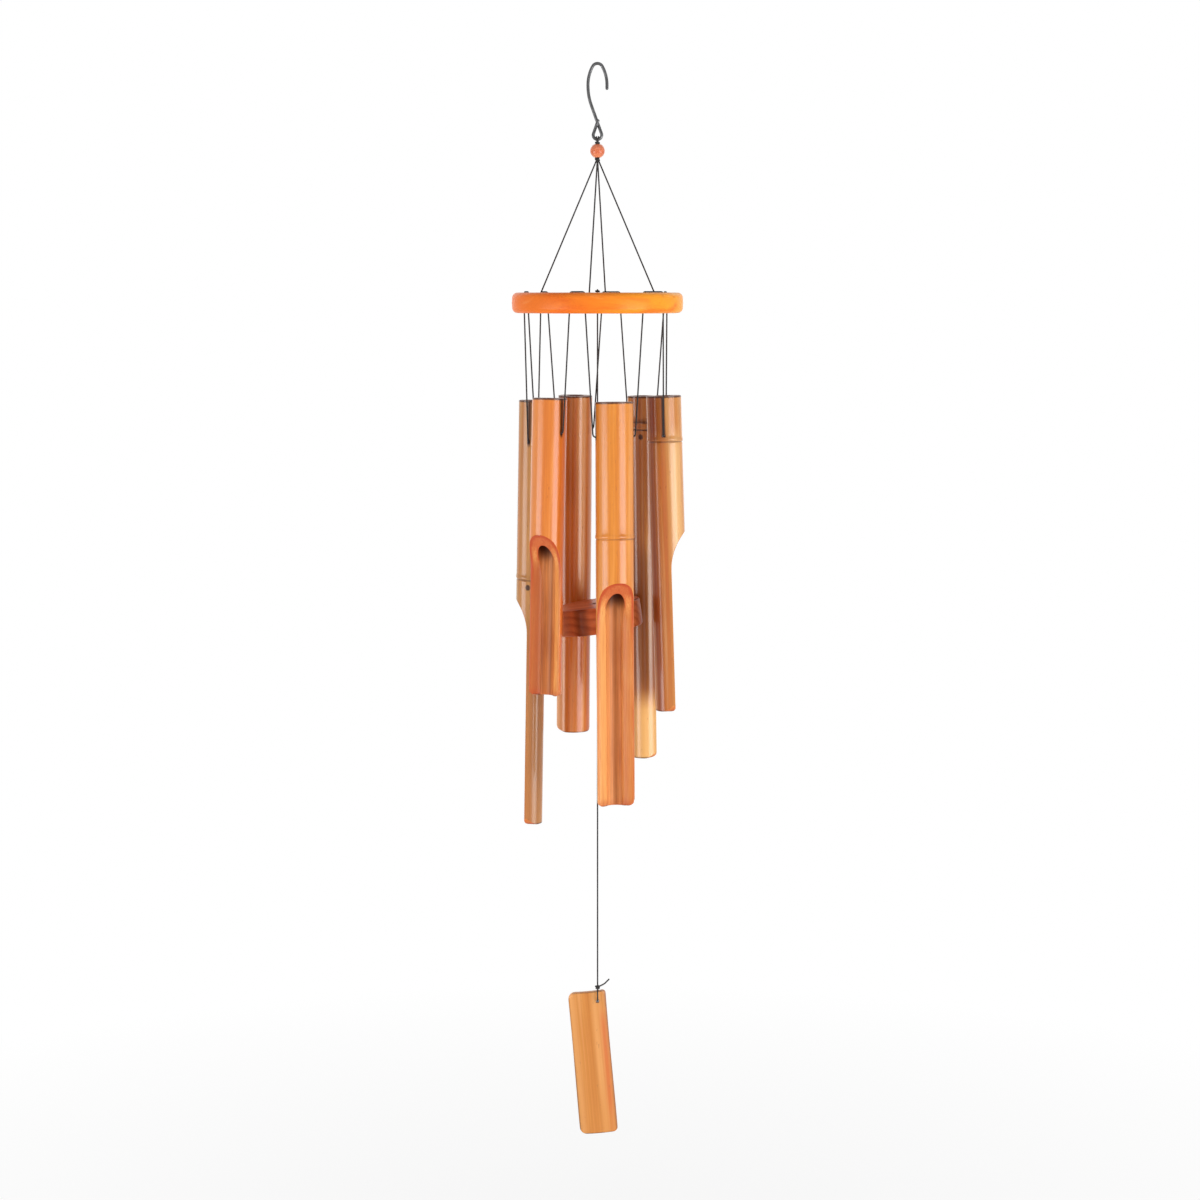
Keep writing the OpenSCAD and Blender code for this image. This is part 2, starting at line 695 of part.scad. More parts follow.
module sail_cord() {
    color(CORD) cord_along([[0, 0, sail_line_z], [0, 0, sail_knot_z]]);
}

// The knot over the sail, its tail, and the loop through the sail's hole
module sail_knot() {
    neck = sail_knot_core / 4;
    tail_foot = [0, 0, sail_knot_z - cord_d];
    color(CORD) {
        translate([0, 0, sail_knot_z]) knot(sail_knot_core, centre_knot_turns);
        cord_along([
            [0, -neck, sail_knot_foot + cord_d / 2],
            [0, sail_front_leg, sail_leg_top],
            [0, sail_front_leg, sail_loop_z],
            [0, sail_back_leg, sail_loop_z],
            [0, sail_back_leg, sail_leg_top],
            [0, neck, sail_knot_foot + cord_d / 2]
        ]);
        cord_along([
            tail_foot,
            tail_foot + sail_tail * [cos(sail_tail_rise), 0, sin(sail_tail_rise)]
        ]);
    }
}

// A split of bamboo, bowed across its width, hung from the hole near its upper right corner
module sail() {
    left = sail_hole_side - sail_w;
    top = sail_hole_top - hole_rise;
    color(SAIL_BAMBOO) translate([0, 0, sail_loop_z])
        rotate([0, -sail_tilt, 0])
            difference() {
                intersection() {
                    translate([left, 0, top - sail_len]) sail_outline();
                    translate([left + sail_w / 2, sail_curve_r - (sail_t + sail_bow) / 2, 0])
                        sail_culm();
                }
                translate([0, 0, -hole_rise])
                    rotate([90, 0, 0])
                        cylinder(d = string_hole_d, h = sail_block_t, center = true);
            }
}

module sail_culm() {
    difference() {
        cylinder(r = sail_curve_r, h = 2 * sail_len, center = true, $fn = wide_fn);
        cylinder(r = sail_curve_r - sail_t, h = 2 * sail_len + over, center = true, $fn = wide_fn);
    }
}

// The sail's outline with its rounded corners, as a block through its thickness
module sail_outline() {
    left_r = sail_left_corner_r;
    right_r = sail_right_corner_r;
    rotate([90, 0, 0]) linear_extrude(sail_block_t, center = true) {
        translate([left_r, 0]) square([sail_w - left_r - right_r, sail_len]);
        translate([0, left_r]) square([sail_w / 2, sail_len - 2 * left_r]);
        translate([sail_w / 2, right_r]) square([sail_w / 2, sail_len - 2 * right_r]);
        for (y = [left_r, sail_len - left_r])
            translate([left_r, y]) circle(left_r);
        for (y = [right_r, sail_len - right_r])
            translate([sail_w - right_r, y]) circle(right_r);
    }
}

hook();
hanger_cord();
bead();
top_disc();
lacing_cord();
for (k = QUARTERS) suspension_cord(k);
for (i = TUBES) tube_cord(i);
for (i = TUBES) tube(i);
striker_stop_knot();
striker_cord();
striker();
striker_knot();
sail_cord();
sail_knot();
sail();
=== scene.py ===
"""The looks of the bamboo wind chime: varnished bamboo, stained wood, steel wire and twisted cord."""
import json
from collections import namedtuple
from math import acos, atan2, ceil, cos, exp, hypot, pi as PI, radians, sin, sqrt, tan

import bmesh
import bpy
import numpy as np
from mathutils import Matrix, Vector


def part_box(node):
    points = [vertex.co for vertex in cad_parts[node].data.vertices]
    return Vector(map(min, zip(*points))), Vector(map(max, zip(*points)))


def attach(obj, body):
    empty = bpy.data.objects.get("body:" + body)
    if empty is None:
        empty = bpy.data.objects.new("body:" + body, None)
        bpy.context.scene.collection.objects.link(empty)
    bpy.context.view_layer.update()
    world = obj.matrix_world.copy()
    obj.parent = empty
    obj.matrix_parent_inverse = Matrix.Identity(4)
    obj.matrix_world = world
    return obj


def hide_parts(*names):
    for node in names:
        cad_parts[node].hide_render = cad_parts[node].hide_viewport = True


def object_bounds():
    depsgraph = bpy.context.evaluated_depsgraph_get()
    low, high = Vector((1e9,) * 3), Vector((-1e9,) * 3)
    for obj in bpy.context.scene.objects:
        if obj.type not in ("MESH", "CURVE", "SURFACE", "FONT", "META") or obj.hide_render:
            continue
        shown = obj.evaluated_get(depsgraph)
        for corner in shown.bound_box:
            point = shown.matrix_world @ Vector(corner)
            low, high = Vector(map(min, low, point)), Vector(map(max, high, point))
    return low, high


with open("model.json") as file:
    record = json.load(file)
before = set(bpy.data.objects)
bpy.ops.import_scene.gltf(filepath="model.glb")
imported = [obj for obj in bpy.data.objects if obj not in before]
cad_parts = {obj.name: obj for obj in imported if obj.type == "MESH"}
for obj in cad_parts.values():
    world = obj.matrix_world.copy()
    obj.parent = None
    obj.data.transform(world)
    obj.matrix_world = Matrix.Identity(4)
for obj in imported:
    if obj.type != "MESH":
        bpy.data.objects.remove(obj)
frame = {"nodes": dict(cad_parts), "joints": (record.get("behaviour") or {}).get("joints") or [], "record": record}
cad_low, cad_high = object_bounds()

MM = 0.001
JOINTS = {joint["name"]: joint for joint in frame["joints"]}


def pivot(joint):
    """Where a joint turns, in the row frame."""
    return Vector(JOINTS[joint]["pos_m"])


# Sizes that the CAD source also names
CORD_D = 1.0 * MM
CORD_BEND = 2.0 * MM
SEAT = 0.1 * MM
STRAND_R = CORD_D / sqrt(2) + SEAT / 2
WIRE_D = 2.0 * MM
HOOK_R = 2.5 * MM
HOOK_SPREAD = radians(27)
HOOK_SIDE_R = 24.0 * MM
HOOK_BEND_RUN = 0.6 * MM
HOOK_ARM = 2.2 * MM
HOOK_SHANK = 0.6 * MM
HOOK_SWEEP_R = 36.0 * MM
HOOK_SLANT = radians(20)
EYE_R = 1.7 * MM
LOOP_R = 1.65 * MM
BEAD_D = 9.3 * MM
BEAD_BORE = 3.0 * MM
DISC_R = 54.5 * MM
DISC_EDGE = 3.5 * MM
DISC_HOLE_D = 2.2 * MM
HOLE_LIP = 0.9 * MM
RECESS_D = 4.4 * MM
RECESS_H = 3.1 * MM
SUSPENSION_R = 36.5 * MM
SUSPENSION_TURN = radians(-8)
LACING_HALF_SPAN = 18.5 * MM
LACING_GAP = 0.85 * MM
WALL_SHARE = 0.25
STRING_HOLE_R = 1.7 * MM / 2
HOLE_RISE = 0.25 * MM
SEPTUM = 3.0 * MM
BUD_DROP = 6.0 * MM
CUT_OFFSET = 1.0 * MM
CUT_R = 32.0 * MM
TONGUE_CORNER = 4.0 * MM
CUT_DISH = 0.19
LEG_STAND = 1.62 * MM
STRIKER_R = 28.5 * MM
STRIKER_T = 17.0 * MM
STRIKER_EDGE = 1.2 * MM
STRIKER_BORE = 4.2 * MM
STRIKER_TILT = radians(8)
SAIL_W = 24.5 * MM
SAIL_LEN = 95.5 * MM
SAIL_T = 4.0 * MM
SAIL_CURVE = 45.0 * MM
SAIL_HOLE_TOP = 6.5 * MM
SAIL_HOLE_SIDE = 5.5 * MM
SAIL_TILT = radians(5)
SAIL_TAIL = 9.5 * MM
SAIL_TAIL_RISE = radians(36)

# Heights from the frame
EYE_BOTTOM = pivot("hanger_swing").z
BEAD_Z = pivot("bead_spin").z
CANOPY_Z = pivot("canopy_sway").z
DISC_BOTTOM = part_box("top_disc")[0].z
DISC_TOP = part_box("top_disc")[1].z
STRIKER_Z = pivot("striker_tilt").z
SAIL_LINE_Z = pivot("sail_swing").z
SAIL_LOOP_Z = pivot("sail_tilt").z


def smooth(low, high, x):
    """0 at low, 1 at high, and a smooth rise between them."""
    t = np.clip((x - low) / (high - low), 0, 1)
    return t * t * (3 - 2 * t)


def fade(low, high, x):
    """1 at low, 0 at high, and a smooth fall between them."""
    return 1 - smooth(low, high, x)


def bell(x):
    """1 at 0, and a soft fall to both sides."""
    return np.exp(-x ** 2)


# Materials

# Where nearly all values of a noise lie
NOISE_SPAN = (0.3, 0.7)


class Nodes:
    """Adds nodes to a shader's tree."""

    def __init__(self, tree):
        self.tree = tree

    def put(self, value, socket):
        """Links a socket, or sets a constant."""
        if isinstance(value, bpy.types.NodeSocket):
            self.tree.links.new(value, socket)
        else:
            socket.default_value = value

    def add(self, kind, inputs, out=0, **settings):
        """A new node with its inputs by name or place. Gives one of its outputs, if it has any."""
        node = self.tree.nodes.new(kind)
        for key, value in settings.items():
            setattr(node, key, value)
        for key, value in inputs.items():
            self.put(value, node.inputs[key])
        return node.outputs[out] if len(node.outputs) else None


class Look(Nodes):
    """A principled material whose colour, roughness and bump come from nodes."""

    def __init__(self, name, **constants):
        self.material = bpy.data.materials.new(name)
        self.material.use_nodes = True
        super().__init__(self.material.node_tree)
        self.sockets = self.tree.nodes["Principled BSDF"].inputs
        self.coords = self.add("ShaderNodeTexCoord", {}, "Object")
        for socket, value in constants.items():
            self.sockets[socket.replace("_", " ")].default_value = value

    def stretched(self, scale, turn=(0, 0, 0), shift=(0, 0, 0)):
        return self.add("ShaderNodeMapping", {
            "Vector": self.coords, "Location": shift, "Rotation": turn, "Scale": scale}, "Vector")

    def noise(self, scale, stretch=None, turn=(0, 0, 0), detail=2.0, roughness=0.5, distortion=0.0):
        return self.add("ShaderNodeTexNoise", {
            "Vector": self.stretched(stretch, turn) if stretch else self.coords, "Scale": scale,
            "Detail": detail, "Roughness": roughness, "Distortion": distortion}, "Fac")

    def attribute(self, name):
        return self.add("ShaderNodeAttribute", {}, "Fac", attribute_name=name)

    def along(self, axis):
        return self.add("ShaderNodeSeparateXYZ", {0: self.coords}, axis)

    def range(self, value, low, high, to_low=0.0, to_high=1.0):
        return self.add("ShaderNodeMapRange", {
            "Value": value, "From Min": low, "From Max": high, "To Min": to_low, "To Max": to_high,
        }, "Result", interpolation_type="SMOOTHSTEP")

    def math(self, operation, a, b=0.0):
        return self.add("ShaderNodeMath", {0: a, 1: b}, "Value", operation=operation)

    def start(self, value, *stops):
        """Starts the colour as a ramp over a value."""
        self.colour = self.add("ShaderNodeValToRGB", {"Fac": value}, "Color")
        elements = self.colour.node.color_ramp.elements
        while len(elements) < len(stops):
            elements.new(0.5)
        for element, (place, colour) in zip(elements, stops):
            element.position = place
            element.color = colour

    def tint(self, colour, mask, span=None, blend="MIX"):
        """Lays a colour over the one so far, by a mask or an attribute's name, spread over a span."""
        share = self.attribute(mask) if isinstance(mask, str) else mask
        if span is not None:
            share = self.range(share, *span)
        self.colour = self.add("ShaderNodeMix", {0: share, 6: self.colour, 7: colour}, 2,
                               data_type="RGBA", blend_type=blend)

    def finish(self, grain, rough, strength, depth, dull=None):
        """Uses the colour, with a bump from a grain and a roughness from that or another noise."""
        bump = {"Strength": strength, "Distance": depth, "Height": grain}
        dullness = self.range(grain if dull is None else dull, *NOISE_SPAN, *rough)
        self.put(self.colour, self.sockets["Base Color"])
        self.put(dullness, self.sockets["Roughness"])
        self.put(self.add("ShaderNodeBump", bump, "Normal"), self.sockets["Normal"])
        return self.material


def srgb(red, green, blue):
    """A colour as it shows on screen, from 0 to 255, as the linear colour that shaders take."""
    def linear(c):
        c /= 255
        return c / 12.92 if c <= 0.04045 else ((c + 0.055) / 1.055) ** 2.4
    return (linear(red), linear(green), linear(blue), 1.0)


Bamboo = namedtuple("Bamboo", "light base deep shade")
# Dark of burnt places, also laid as painted shade: the strings' shadows on the tubes, the sail's outline and a
# mark on the striker
BURNT_AND_SHADE = srgb(58, 22, 9)
RED_STAIN = srgb(214, 100, 46)
RED_EDGE = srgb(186, 62, 28)


def bamboo_skin(name, tone):
    """The varnished outside of a culm: long fine fibres, broad stained streaks, painted light and shade, burnt
    rims and node lines.
    """
    look = Look(name, Coat_Weight=0.9, Coat_Roughness=0.22, Coat_IOR=1.5, Specular_IOR_Level=0.05)
    fibres = look.noise(1500, (1, 1, 0.02), detail=3)
    streaks = look.noise(200, (1, 1, 0.025), distortion=0.3)
    clouds = look.noise(42, (1, 1, 0.35), detail=3)
    specks = look.noise(900, (1, 1, 0.25), detail=1)
    look.start(streaks, (0.3, tone.deep), (0.5, tone.base), (0.72, tone.light))
    look.tint(tone.deep, clouds, (0.45, 0.75, 0, 0.4))
    look.tint(tone.shade, fibres, (*NOISE_SPAN, 0.14, 0), "MULTIPLY")
    # Painted light, red stain and painted shade, from the piece's tints
    look.tint(tone.light, "light")
    look.tint(RED_STAIN, "red")
    look.tint(tone.shade, "shade")
    look.tint(tone.shade, specks, (0.71, 0.77, 0, 0.4))
    # Burnt places, and the painted shadow of the string
    ragged = look.math("ADD", look.attribute("scorch"), look.range(clouds, *NOISE_SPAN, -0.1, 0.1))
    look.tint(BURNT_AND_SHADE, ragged, (0.18, 0.95, 0, 0.94))
    return look.finish(fibres, (0.36, 0.48), 0.1, 0.12 * MM)


def bamboo_cut(name, tone):
    """The sanded face of a cut: open fibres, orange red at its edges, with painted light and shade on its faces.
    """
    look = Look(name, Coat_Weight=0.3, Coat_Roughness=0.3, Specular_IOR_Level=0.08)
    fibres = look.noise(1400, (1, 1, 0.035), detail=4, roughness=0.6)
    bundles = look.noise(420, (1, 1, 0.05), detail=1)
    look.start(fibres, (0.3, tone.deep), (0.5, tone.base), (0.72, tone.light))
    look.tint(tone.shade, bundles, (0.56, 0.76, 0, 0.4))
    # Painted light and painted shade on the faces of the cut
    look.tint(tone.light, "light")
    look.tint(tone.shade, "shade")
    look.tint(RED_EDGE, "edge", (0.1, 1.0, 0, 0.9))
    look.tint(BURNT_AND_SHADE, "scorch", (0.35, 1.0, 0, 0.85))
    return look.finish(fibres, (0.44, 0.62), 0.25, 0.16 * MM)


def bamboo_inside(name, tone):
    """The inner wall of a culm, with its papery lining, painted light, and painted shade along its middle and up
    in the hollow.
    """
    look = Look(name, Coat_Weight=0.2, Coat_Roughness=0.32, Specular_IOR_Level=0.08)
    fibres = look.noise(1100, (1, 1, 0.02), detail=3)
    patches = look.noise(60, (1, 1, 0.3), detail=4)
    look.start(patches, (0.3, tone.deep), (0.52, tone.base), (0.75, tone.light))
    look.tint(tone.shade, fibres, (0.35, 0.7, 0.3, 0))
    # Painted light, and painted shade up in the hollow and along the trough
    look.tint(tone.light, "light")
    look.tint(tone.shade, "hollow")
    look.tint(RED_EDGE, "edge", (0.2, 1.0, 0, 0.5))
    return look.finish(fibres, (0.42, 0.6), 0.2, 0.16 * MM, dull=patches)


def disc_wood():
    """Bright stained wood with a soft slanting grain, redder on its left and more golden on its right."""
    look = Look("disc_wood", Coat_Weight=0.22, Coat_Roughness=0.28, Coat_IOR=1.5, Specular_IOR_Level=0.05)
    slant = (0, radians(11), 0)
    broad = look.noise(52, (0.28, 0.6, 1.5), slant, distortion=0.7)
    lines = look.noise(210, (0.07, 0.5, 1), slant, detail=3, distortion=0.4)
    pores = look.noise(1500, (0.05, 1, 1), detail=3)
    across = look.range(look.along("X"), -48 * MM, 52 * MM)
    look.start(across, (0.0, srgb(243, 122, 38)), (0.45, srgb(250, 134, 38)), (1.0, srgb(254, 164, 44)))
    look.tint(srgb(255, 196, 122), broad, (0.56, 0.74, 0, 0.8))
    look.tint(srgb(236, 104, 30), broad, (0.44, 0.28, 0, 0.6))
    look.tint(srgb(214, 108, 34), lines, (0.6, 0.74, 0, 0.45))
    look.tint(srgb(200, 90, 30), pores, (0.3, 0.6, 0.12, 0), "MULTIPLY")
    look.tint(BURNT_AND_SHADE, "scorch", (0.3, 1.0, 0, 0.6))
    return look.finish(pores, (0.5, 0.38), 0.07, 0.1 * MM)


def turned_wood(name, early, late, streak_and_lit, ring_pitch, heart, shine):
    """Stained and varnished wood. The year rings run round a heart that lies along X, at the given place."""
    look = Look(name, Coat_Weight=shine, Coat_Roughness=0.22, Coat_IOR=1.5, Specular_IOR_Level=0.05)
    wander = look.math("MULTIPLY", look.noise(34, (0.35, 1, 1)), 7 * MM)
    across = look.add("ShaderNodeVectorMath", {0: look.stretched((0.06, 1, 1), shift=heart)}, "Value",
                      operation="LENGTH")
    rings = look.math("FRACT", look.math("DIVIDE", look.math("ADD", across, wander), ring_pitch))
    pores = look.noise(1500, (0.04, 1, 1), detail=3)
    broad = look.noise(30, (0.5, 1, 2.2), detail=3, distortion=0.6)
    look.start(rings, (0.0, late), (0.2, early), (0.55, early), (0.9, late), (1.0, late))
    look.tint(streak_and_lit, broad, (0.55, 0.74, 0, 0.7))
    # Painted light: the striker's left end is lighter, as lit from the left. The bead is too small to reach it
    look.tint(streak_and_lit, look.along("X"), (-12 * MM, -27 * MM, 0, 0.7))
    look.tint(late, pores, (0.3, 0.62, 0.18, 0), "MULTIPLY")
    look.tint(BURNT_AND_SHADE, "scorch", (0.3, 1.0, 0, 0.6))
    return look.finish(pores, (0.5, 0.38), 0.07, 0.1 * MM)


def twisted_cord():
    """Dark waxed cord with fine fibres, worn places and a dull sheen."""
    look = Look("dark_cord", Sheen_Weight=0.2, Sheen_Roughness=0.5, Specular_IOR_Level=0.2)
    fibres = look.noise(5200)
    look.start(fibres, (0.3, srgb(24, 23, 23)), (0.55, srgb(48, 46, 46)), (0.8, srgb(78, 76, 74)))
    look.tint(srgb(64, 60, 57), look.noise(170), (0.5, 0.75, 0, 0.35))
    return look.finish(fibres, (0.62, 0.82), 0.35, 0.08 * MM)


def drawn_steel():
    """Dull dark steel wire with the fine marks of drawing and bending."""
    look = Look("hook_wire", Metallic=1.0)
    marks = look.noise(2600, (1, 1, 0.15), detail=3)
    stains = look.noise(150, detail=3)
    look.start(stains, (0.32, srgb(70, 70, 71)), (0.55, srgb(92, 92, 93)), (0.75, srgb(118, 118, 118)))
    return look.finish(marks, (0.3, 0.46), 0.1, 0.05 * MM)


def bamboo(*colours):
    return Bamboo(*(srgb(*colour) for colour in colours))


GOLD = bamboo((240, 162, 78), (226, 138, 44), (210, 118, 34), (172, 96, 44))
ORANGE = bamboo((242, 156, 76), (224, 128, 44), (210, 110, 34), (172, 80, 36))
TAN = bamboo((222, 172, 104), (203, 146, 78), (184, 116, 54), (132, 86, 46))
HONEY = bamboo((242, 194, 132), (210, 140, 64), (200, 116, 48), (140, 64, 32))
RUSSET = bamboo((234, 170, 110), (206, 110, 36), (188, 90, 26), (148, 70, 24))
UMBER = bamboo((238, 182, 110), (176, 112, 62), (156, 88, 42), (112, 60, 26))
SLAT = bamboo((232, 165, 97), (214, 139, 62), (203, 124, 49), (168, 100, 55))
CUT = bamboo((244, 178, 108), (232, 152, 82), (218, 130, 64), (182, 90, 46))
INSIDE = bamboo((238, 158, 94), (220, 134, 74), (196, 108, 54), (92, 38, 16))

CORD_LOOK = twisted_cord()
STEEL_LOOK = drawn_steel()
CUT_LOOK = bamboo_cut("bamboo_cut", CUT)
INSIDE_LOOK = bamboo_inside("bamboo_inside", INSIDE)
DISC_LOOK = disc_wood()
BEAD_LOOK = turned_wood(
    "bead_wood", srgb(230, 130, 88), srgb(219, 112, 68), srgb(242, 164, 120),
    ring_pitch=6 * MM, heart=(0, 0.02, 0.06), shine=0.8)
STRIKER_LOOK = turned_wood(
    "striker_wood", srgb(210, 110, 62), srgb(184, 88, 47), srgb(226, 140, 90),
    ring_pitch=4.5 * MM, heart=(0, 0.02, 0.01), shine=0.12)


# Mesh helpers

DRILL_SEGMENTS = 24
BAMBOO_SHARP = 50


def add_object(name, data):
    obj = bpy.data.objects.new(name, data)
    bpy.context.scene.collection.objects.link(obj)
    return obj


def piece(name, mesh, body, slot, *nodes, materials, place=None):
    """Puts a mesh into the scene as a piece that rides on a body and stands for CAD nodes."""
    obj = add_object(name, mesh)
    for material in materials:
        mesh.materials.append(material)
    if place is not None:
        obj.matrix_world = place
    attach(obj, body)
    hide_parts(*nodes)
    return obj


def mesh_of(name, form, sharp=40):
    """A clean, smooth shaded mesh from a bmesh, with hard edges only above the given angle."""
    bmesh.ops.remove_doubles(form, verts=form.verts, dist=1e-6)
    bmesh.ops.dissolve_degenerate(form, dist=1e-7, edges=form.edges)
    bmesh.ops.recalc_face_normals(form, faces=form.faces)
    mesh = bpy.data.meshes.new(name)
    form.to_mesh(mesh)
    form.free()
    mesh.shade_smooth()
    mesh.set_sharp_from_angle(angle=radians(sharp))
    return mesh


def add_grid(form, points, material=0, closed=False):
    """Adds a grid of faces through rows of points."""
    rows = [[form.verts.new(p) for p in row] for row in points]
    for upper, lower in zip(rows, rows[1:]):
        count = len(upper)
        for j in range(count if closed else count - 1):
            k = (j + 1) % count
            face = form.faces.new((upper[j], lower[j], lower[k], upper[k]))
            face.material_index = material
    return rows


def turns(count):
    """Angles spread evenly over a full turn."""
    return [2 * PI * k / count for k in range(count)]


def arc(centre, radius, start, end, steps):
    """Points of an arc in a plane."""
    angles = [start + (end - start) * k / steps for k in range(steps + 1)]
    return [(centre[0] + radius * cos(a), centre[1] + radius * sin(a)) for a in angles]


def around(angle, radius, z):
    """A point round the chime, with the angle counted from the front towards +X."""
    return Vector((radius * sin(angle), -radius * cos(angle), z))


def hung_at(z, tilt=0):
    """A place on the middle line, where a piece hangs tilted."""
    return Matrix.Translation((0, 0, z)) @ Matrix.Rotation(-tilt, 4, "Y")


def lathe(form, profile, segments):
    """Turns a closed profile of (radius, height) points round Z."""
    rows = [[Vector((radius * cos(a), radius * sin(a), height)) for a in turns(segments)]
            for radius, height in [*profile, profile[0]]]
    return add_grid(form, rows, closed=True)


def turned(name, profile, segments, sharp=40):
    form = bmesh.new()
    lathe(form, profile, segments)
    return mesh_of(name, form, sharp)


def drilled(mesh, drills, sharp):
    """The mesh with turned drills cut out of it, each a profile of (radius, height) points at a place."""
    form = bmesh.new()
    for profile, place in drills:
        made = lathe(form, profile, DRILL_SEGMENTS)
        bmesh.ops.transform(form, matrix=place, verts=[v for row in made for v in row])
    tools = add_object("drills", mesh_of("drills", form))
    body = add_object("drilled", mesh)
    cut = body.modifiers.new("cut", "BOOLEAN")
    cut.operation = "DIFFERENCE"
    cut.solver = "EXACT"
    cut.object = tools
    bpy.context.view_layer.update()
    form = bmesh.new()
    form.from_object(body, bpy.context.evaluated_depsgraph_get())
    bpy.data.objects.remove(body)
    bpy.data.objects.remove(tools)
    return mesh_of(mesh.name + "_drilled", form, sharp)


def bamboo_mesh(name, form, reach, along):
    """The mesh of a tube or the sail with its string's hole, whose drill is turned from Z by a matrix."""
    drill = [(0, -reach), (STRING_HOLE_R, -reach), (STRING_HOLE_R, reach), (0, reach)]
    place = Matrix.Translation((0, 0, -HOLE_RISE)) @ along
    return drilled(mesh_of(name, form, BAMBOO_SHARP), [(drill, place)], BAMBOO_SHARP)


def give(mesh, **attributes):
    """Stores one number per vertex under each name, for the materials."""
    for name, values in attributes.items():
        attribute = mesh.attributes.new(name, "FLOAT", "POINT")
        attribute.data.foreach_set("value", np.asarray(values, np.float32))


def points_of(mesh):
    flat = np.zeros(len(mesh.vertices) * 3, np.float32)
    mesh.vertices.foreach_get("co", flat)
    return flat.reshape(-1, 3).astype(float)


# Lines and cords

LINE_STEP = 0.35 * MM
CORD_PITCH = 3.2 * MM
CORD_LOBES = 3
LINE_SIDES = 12
KNOT_STEPS = 72
LOOP_STEPS = 40


def evenly(route):
    """The same line with points at even distances."""
    line = np.array([tuple(p) for p in route])
    lengths = np.concatenate([[0], np.cumsum(np.linalg.norm(np.diff(line, axis=0), axis=1))])
    count = max(2, ceil(lengths[-1] / LINE_STEP) + 1)
    at = np.linspace(0, lengths[-1], count)
    return np.stack([np.interp(at, lengths, line[:, k]) for k in range(3)], axis=1)


def rounded_route(points, bend=CORD_BEND):
    """A dense line along straight runs, with a round bend at each point between its ends."""
    points = [Vector(p) for p in points]
    route = [points[0]]
    for before, here, after in zip(points, points[1:], points[2:]):
        ahead = (here - before).normalized()
        onward = (after - here).normalized()
        turn = ahead.angle(onward)
        centre = here + (onward - ahead).normalized() * bend / cos(turn / 2)
        start = here - ahead * (bend * tan(turn / 2)) - centre
        steps = max(3, ceil(turn * bend / LINE_STEP * 2))
        for k in range(steps + 1):
            route.append(centre + Matrix.Rotation(turn * k / steps, 3, ahead.cross(onward)) @ start)
    return evenly([*route, points[-1]])


def add_tube(form, line, section, closed=False):
    """Sweeps a round section along a line. section gives the radius at an angle and a distance."""
    ahead = np.gradient(line, axis=0)
    if closed:
        ahead = np.roll(line, -1, axis=0) - np.roll(line, 1, axis=0)
    ahead /= np.linalg.norm(ahead, axis=1)[:, None]
    side = np.cross(ahead[0], [0.31, 0.87, 0.38])
    rows = []
    travelled = 0.0
    for k, (here, direction) in enumerate(zip(line, ahead)):
        side = side - direction * side.dot(direction)
        side /= np.linalg.norm(side)
        other = np.cross(direction, side)
        if k:
            travelled += np.linalg.norm(here - line[k - 1])
        rows.append([
            Vector(here + section(angle, travelled) * (cos(angle) * side + sin(angle) * other))
            for angle in turns(LINE_SIDES)])
    made = add_grid(form, rows, closed=True)
    if closed:
        for j in range(LINE_SIDES):
            k = (j + 1) % LINE_SIDES
            form.faces.new((made[-1][j], made[0][j], made[0][k], made[-1][k]))
    else:
        form.faces.new(list(reversed(made[0])))
        form.faces.new(made[-1])


def cord_section(angle, travelled):
    """Three strands laid round each other."""
    lobe = abs(cos(CORD_LOBES / 2 * (angle - 2 * PI * travelled / CORD_PITCH)))
    return CORD_D / 2 * (0.8 + 0.2 * lobe ** 0.7)


def cord_piece(name, body, node, *lines, loops=()):
    """A piece of cord along open lines, and along loops that close on themselves."""
    form = bmesh.new()
    for line in lines:
        add_tube(form, line, cord_section)
    for line in loops:
        add_tube(form, line, cord_section, closed=True)
    return piece(name, mesh_of(name, form, sharp=75), body, "cord", node, materials=[CORD_LOOK])


def free_cord(name, line, body, node):
    """A cord that hangs between pieces of the chime."""
    obj = cord_piece(name, body, node, line)
    return obj


def overhand(centre, radius, height, turn):
    """The line of a tight overhand knot, closed on itself, about a vertical axis."""
    line = []
    for t in turns(KNOT_STEPS):
        x = (sin(t) + 2 * sin(2 * t)) / 3 * radius
        y = (cos(t) - 2 * cos(2 * t)) / 3 * radius
        z = -sin(3 * t) * height / 2
        line.append(tuple(Vector(centre) + Matrix.Rotation(turn, 3, "Z") @ Vector((x, y, z))))
    return np.array(line)


def knots(*rows):
    """Knots on the middle line, each by its height and, in mm, its radius and thickness, and its turn."""
    return [overhand((0, 0, z), radius * MM, height * MM, turn) for z, radius, height, turn in rows]
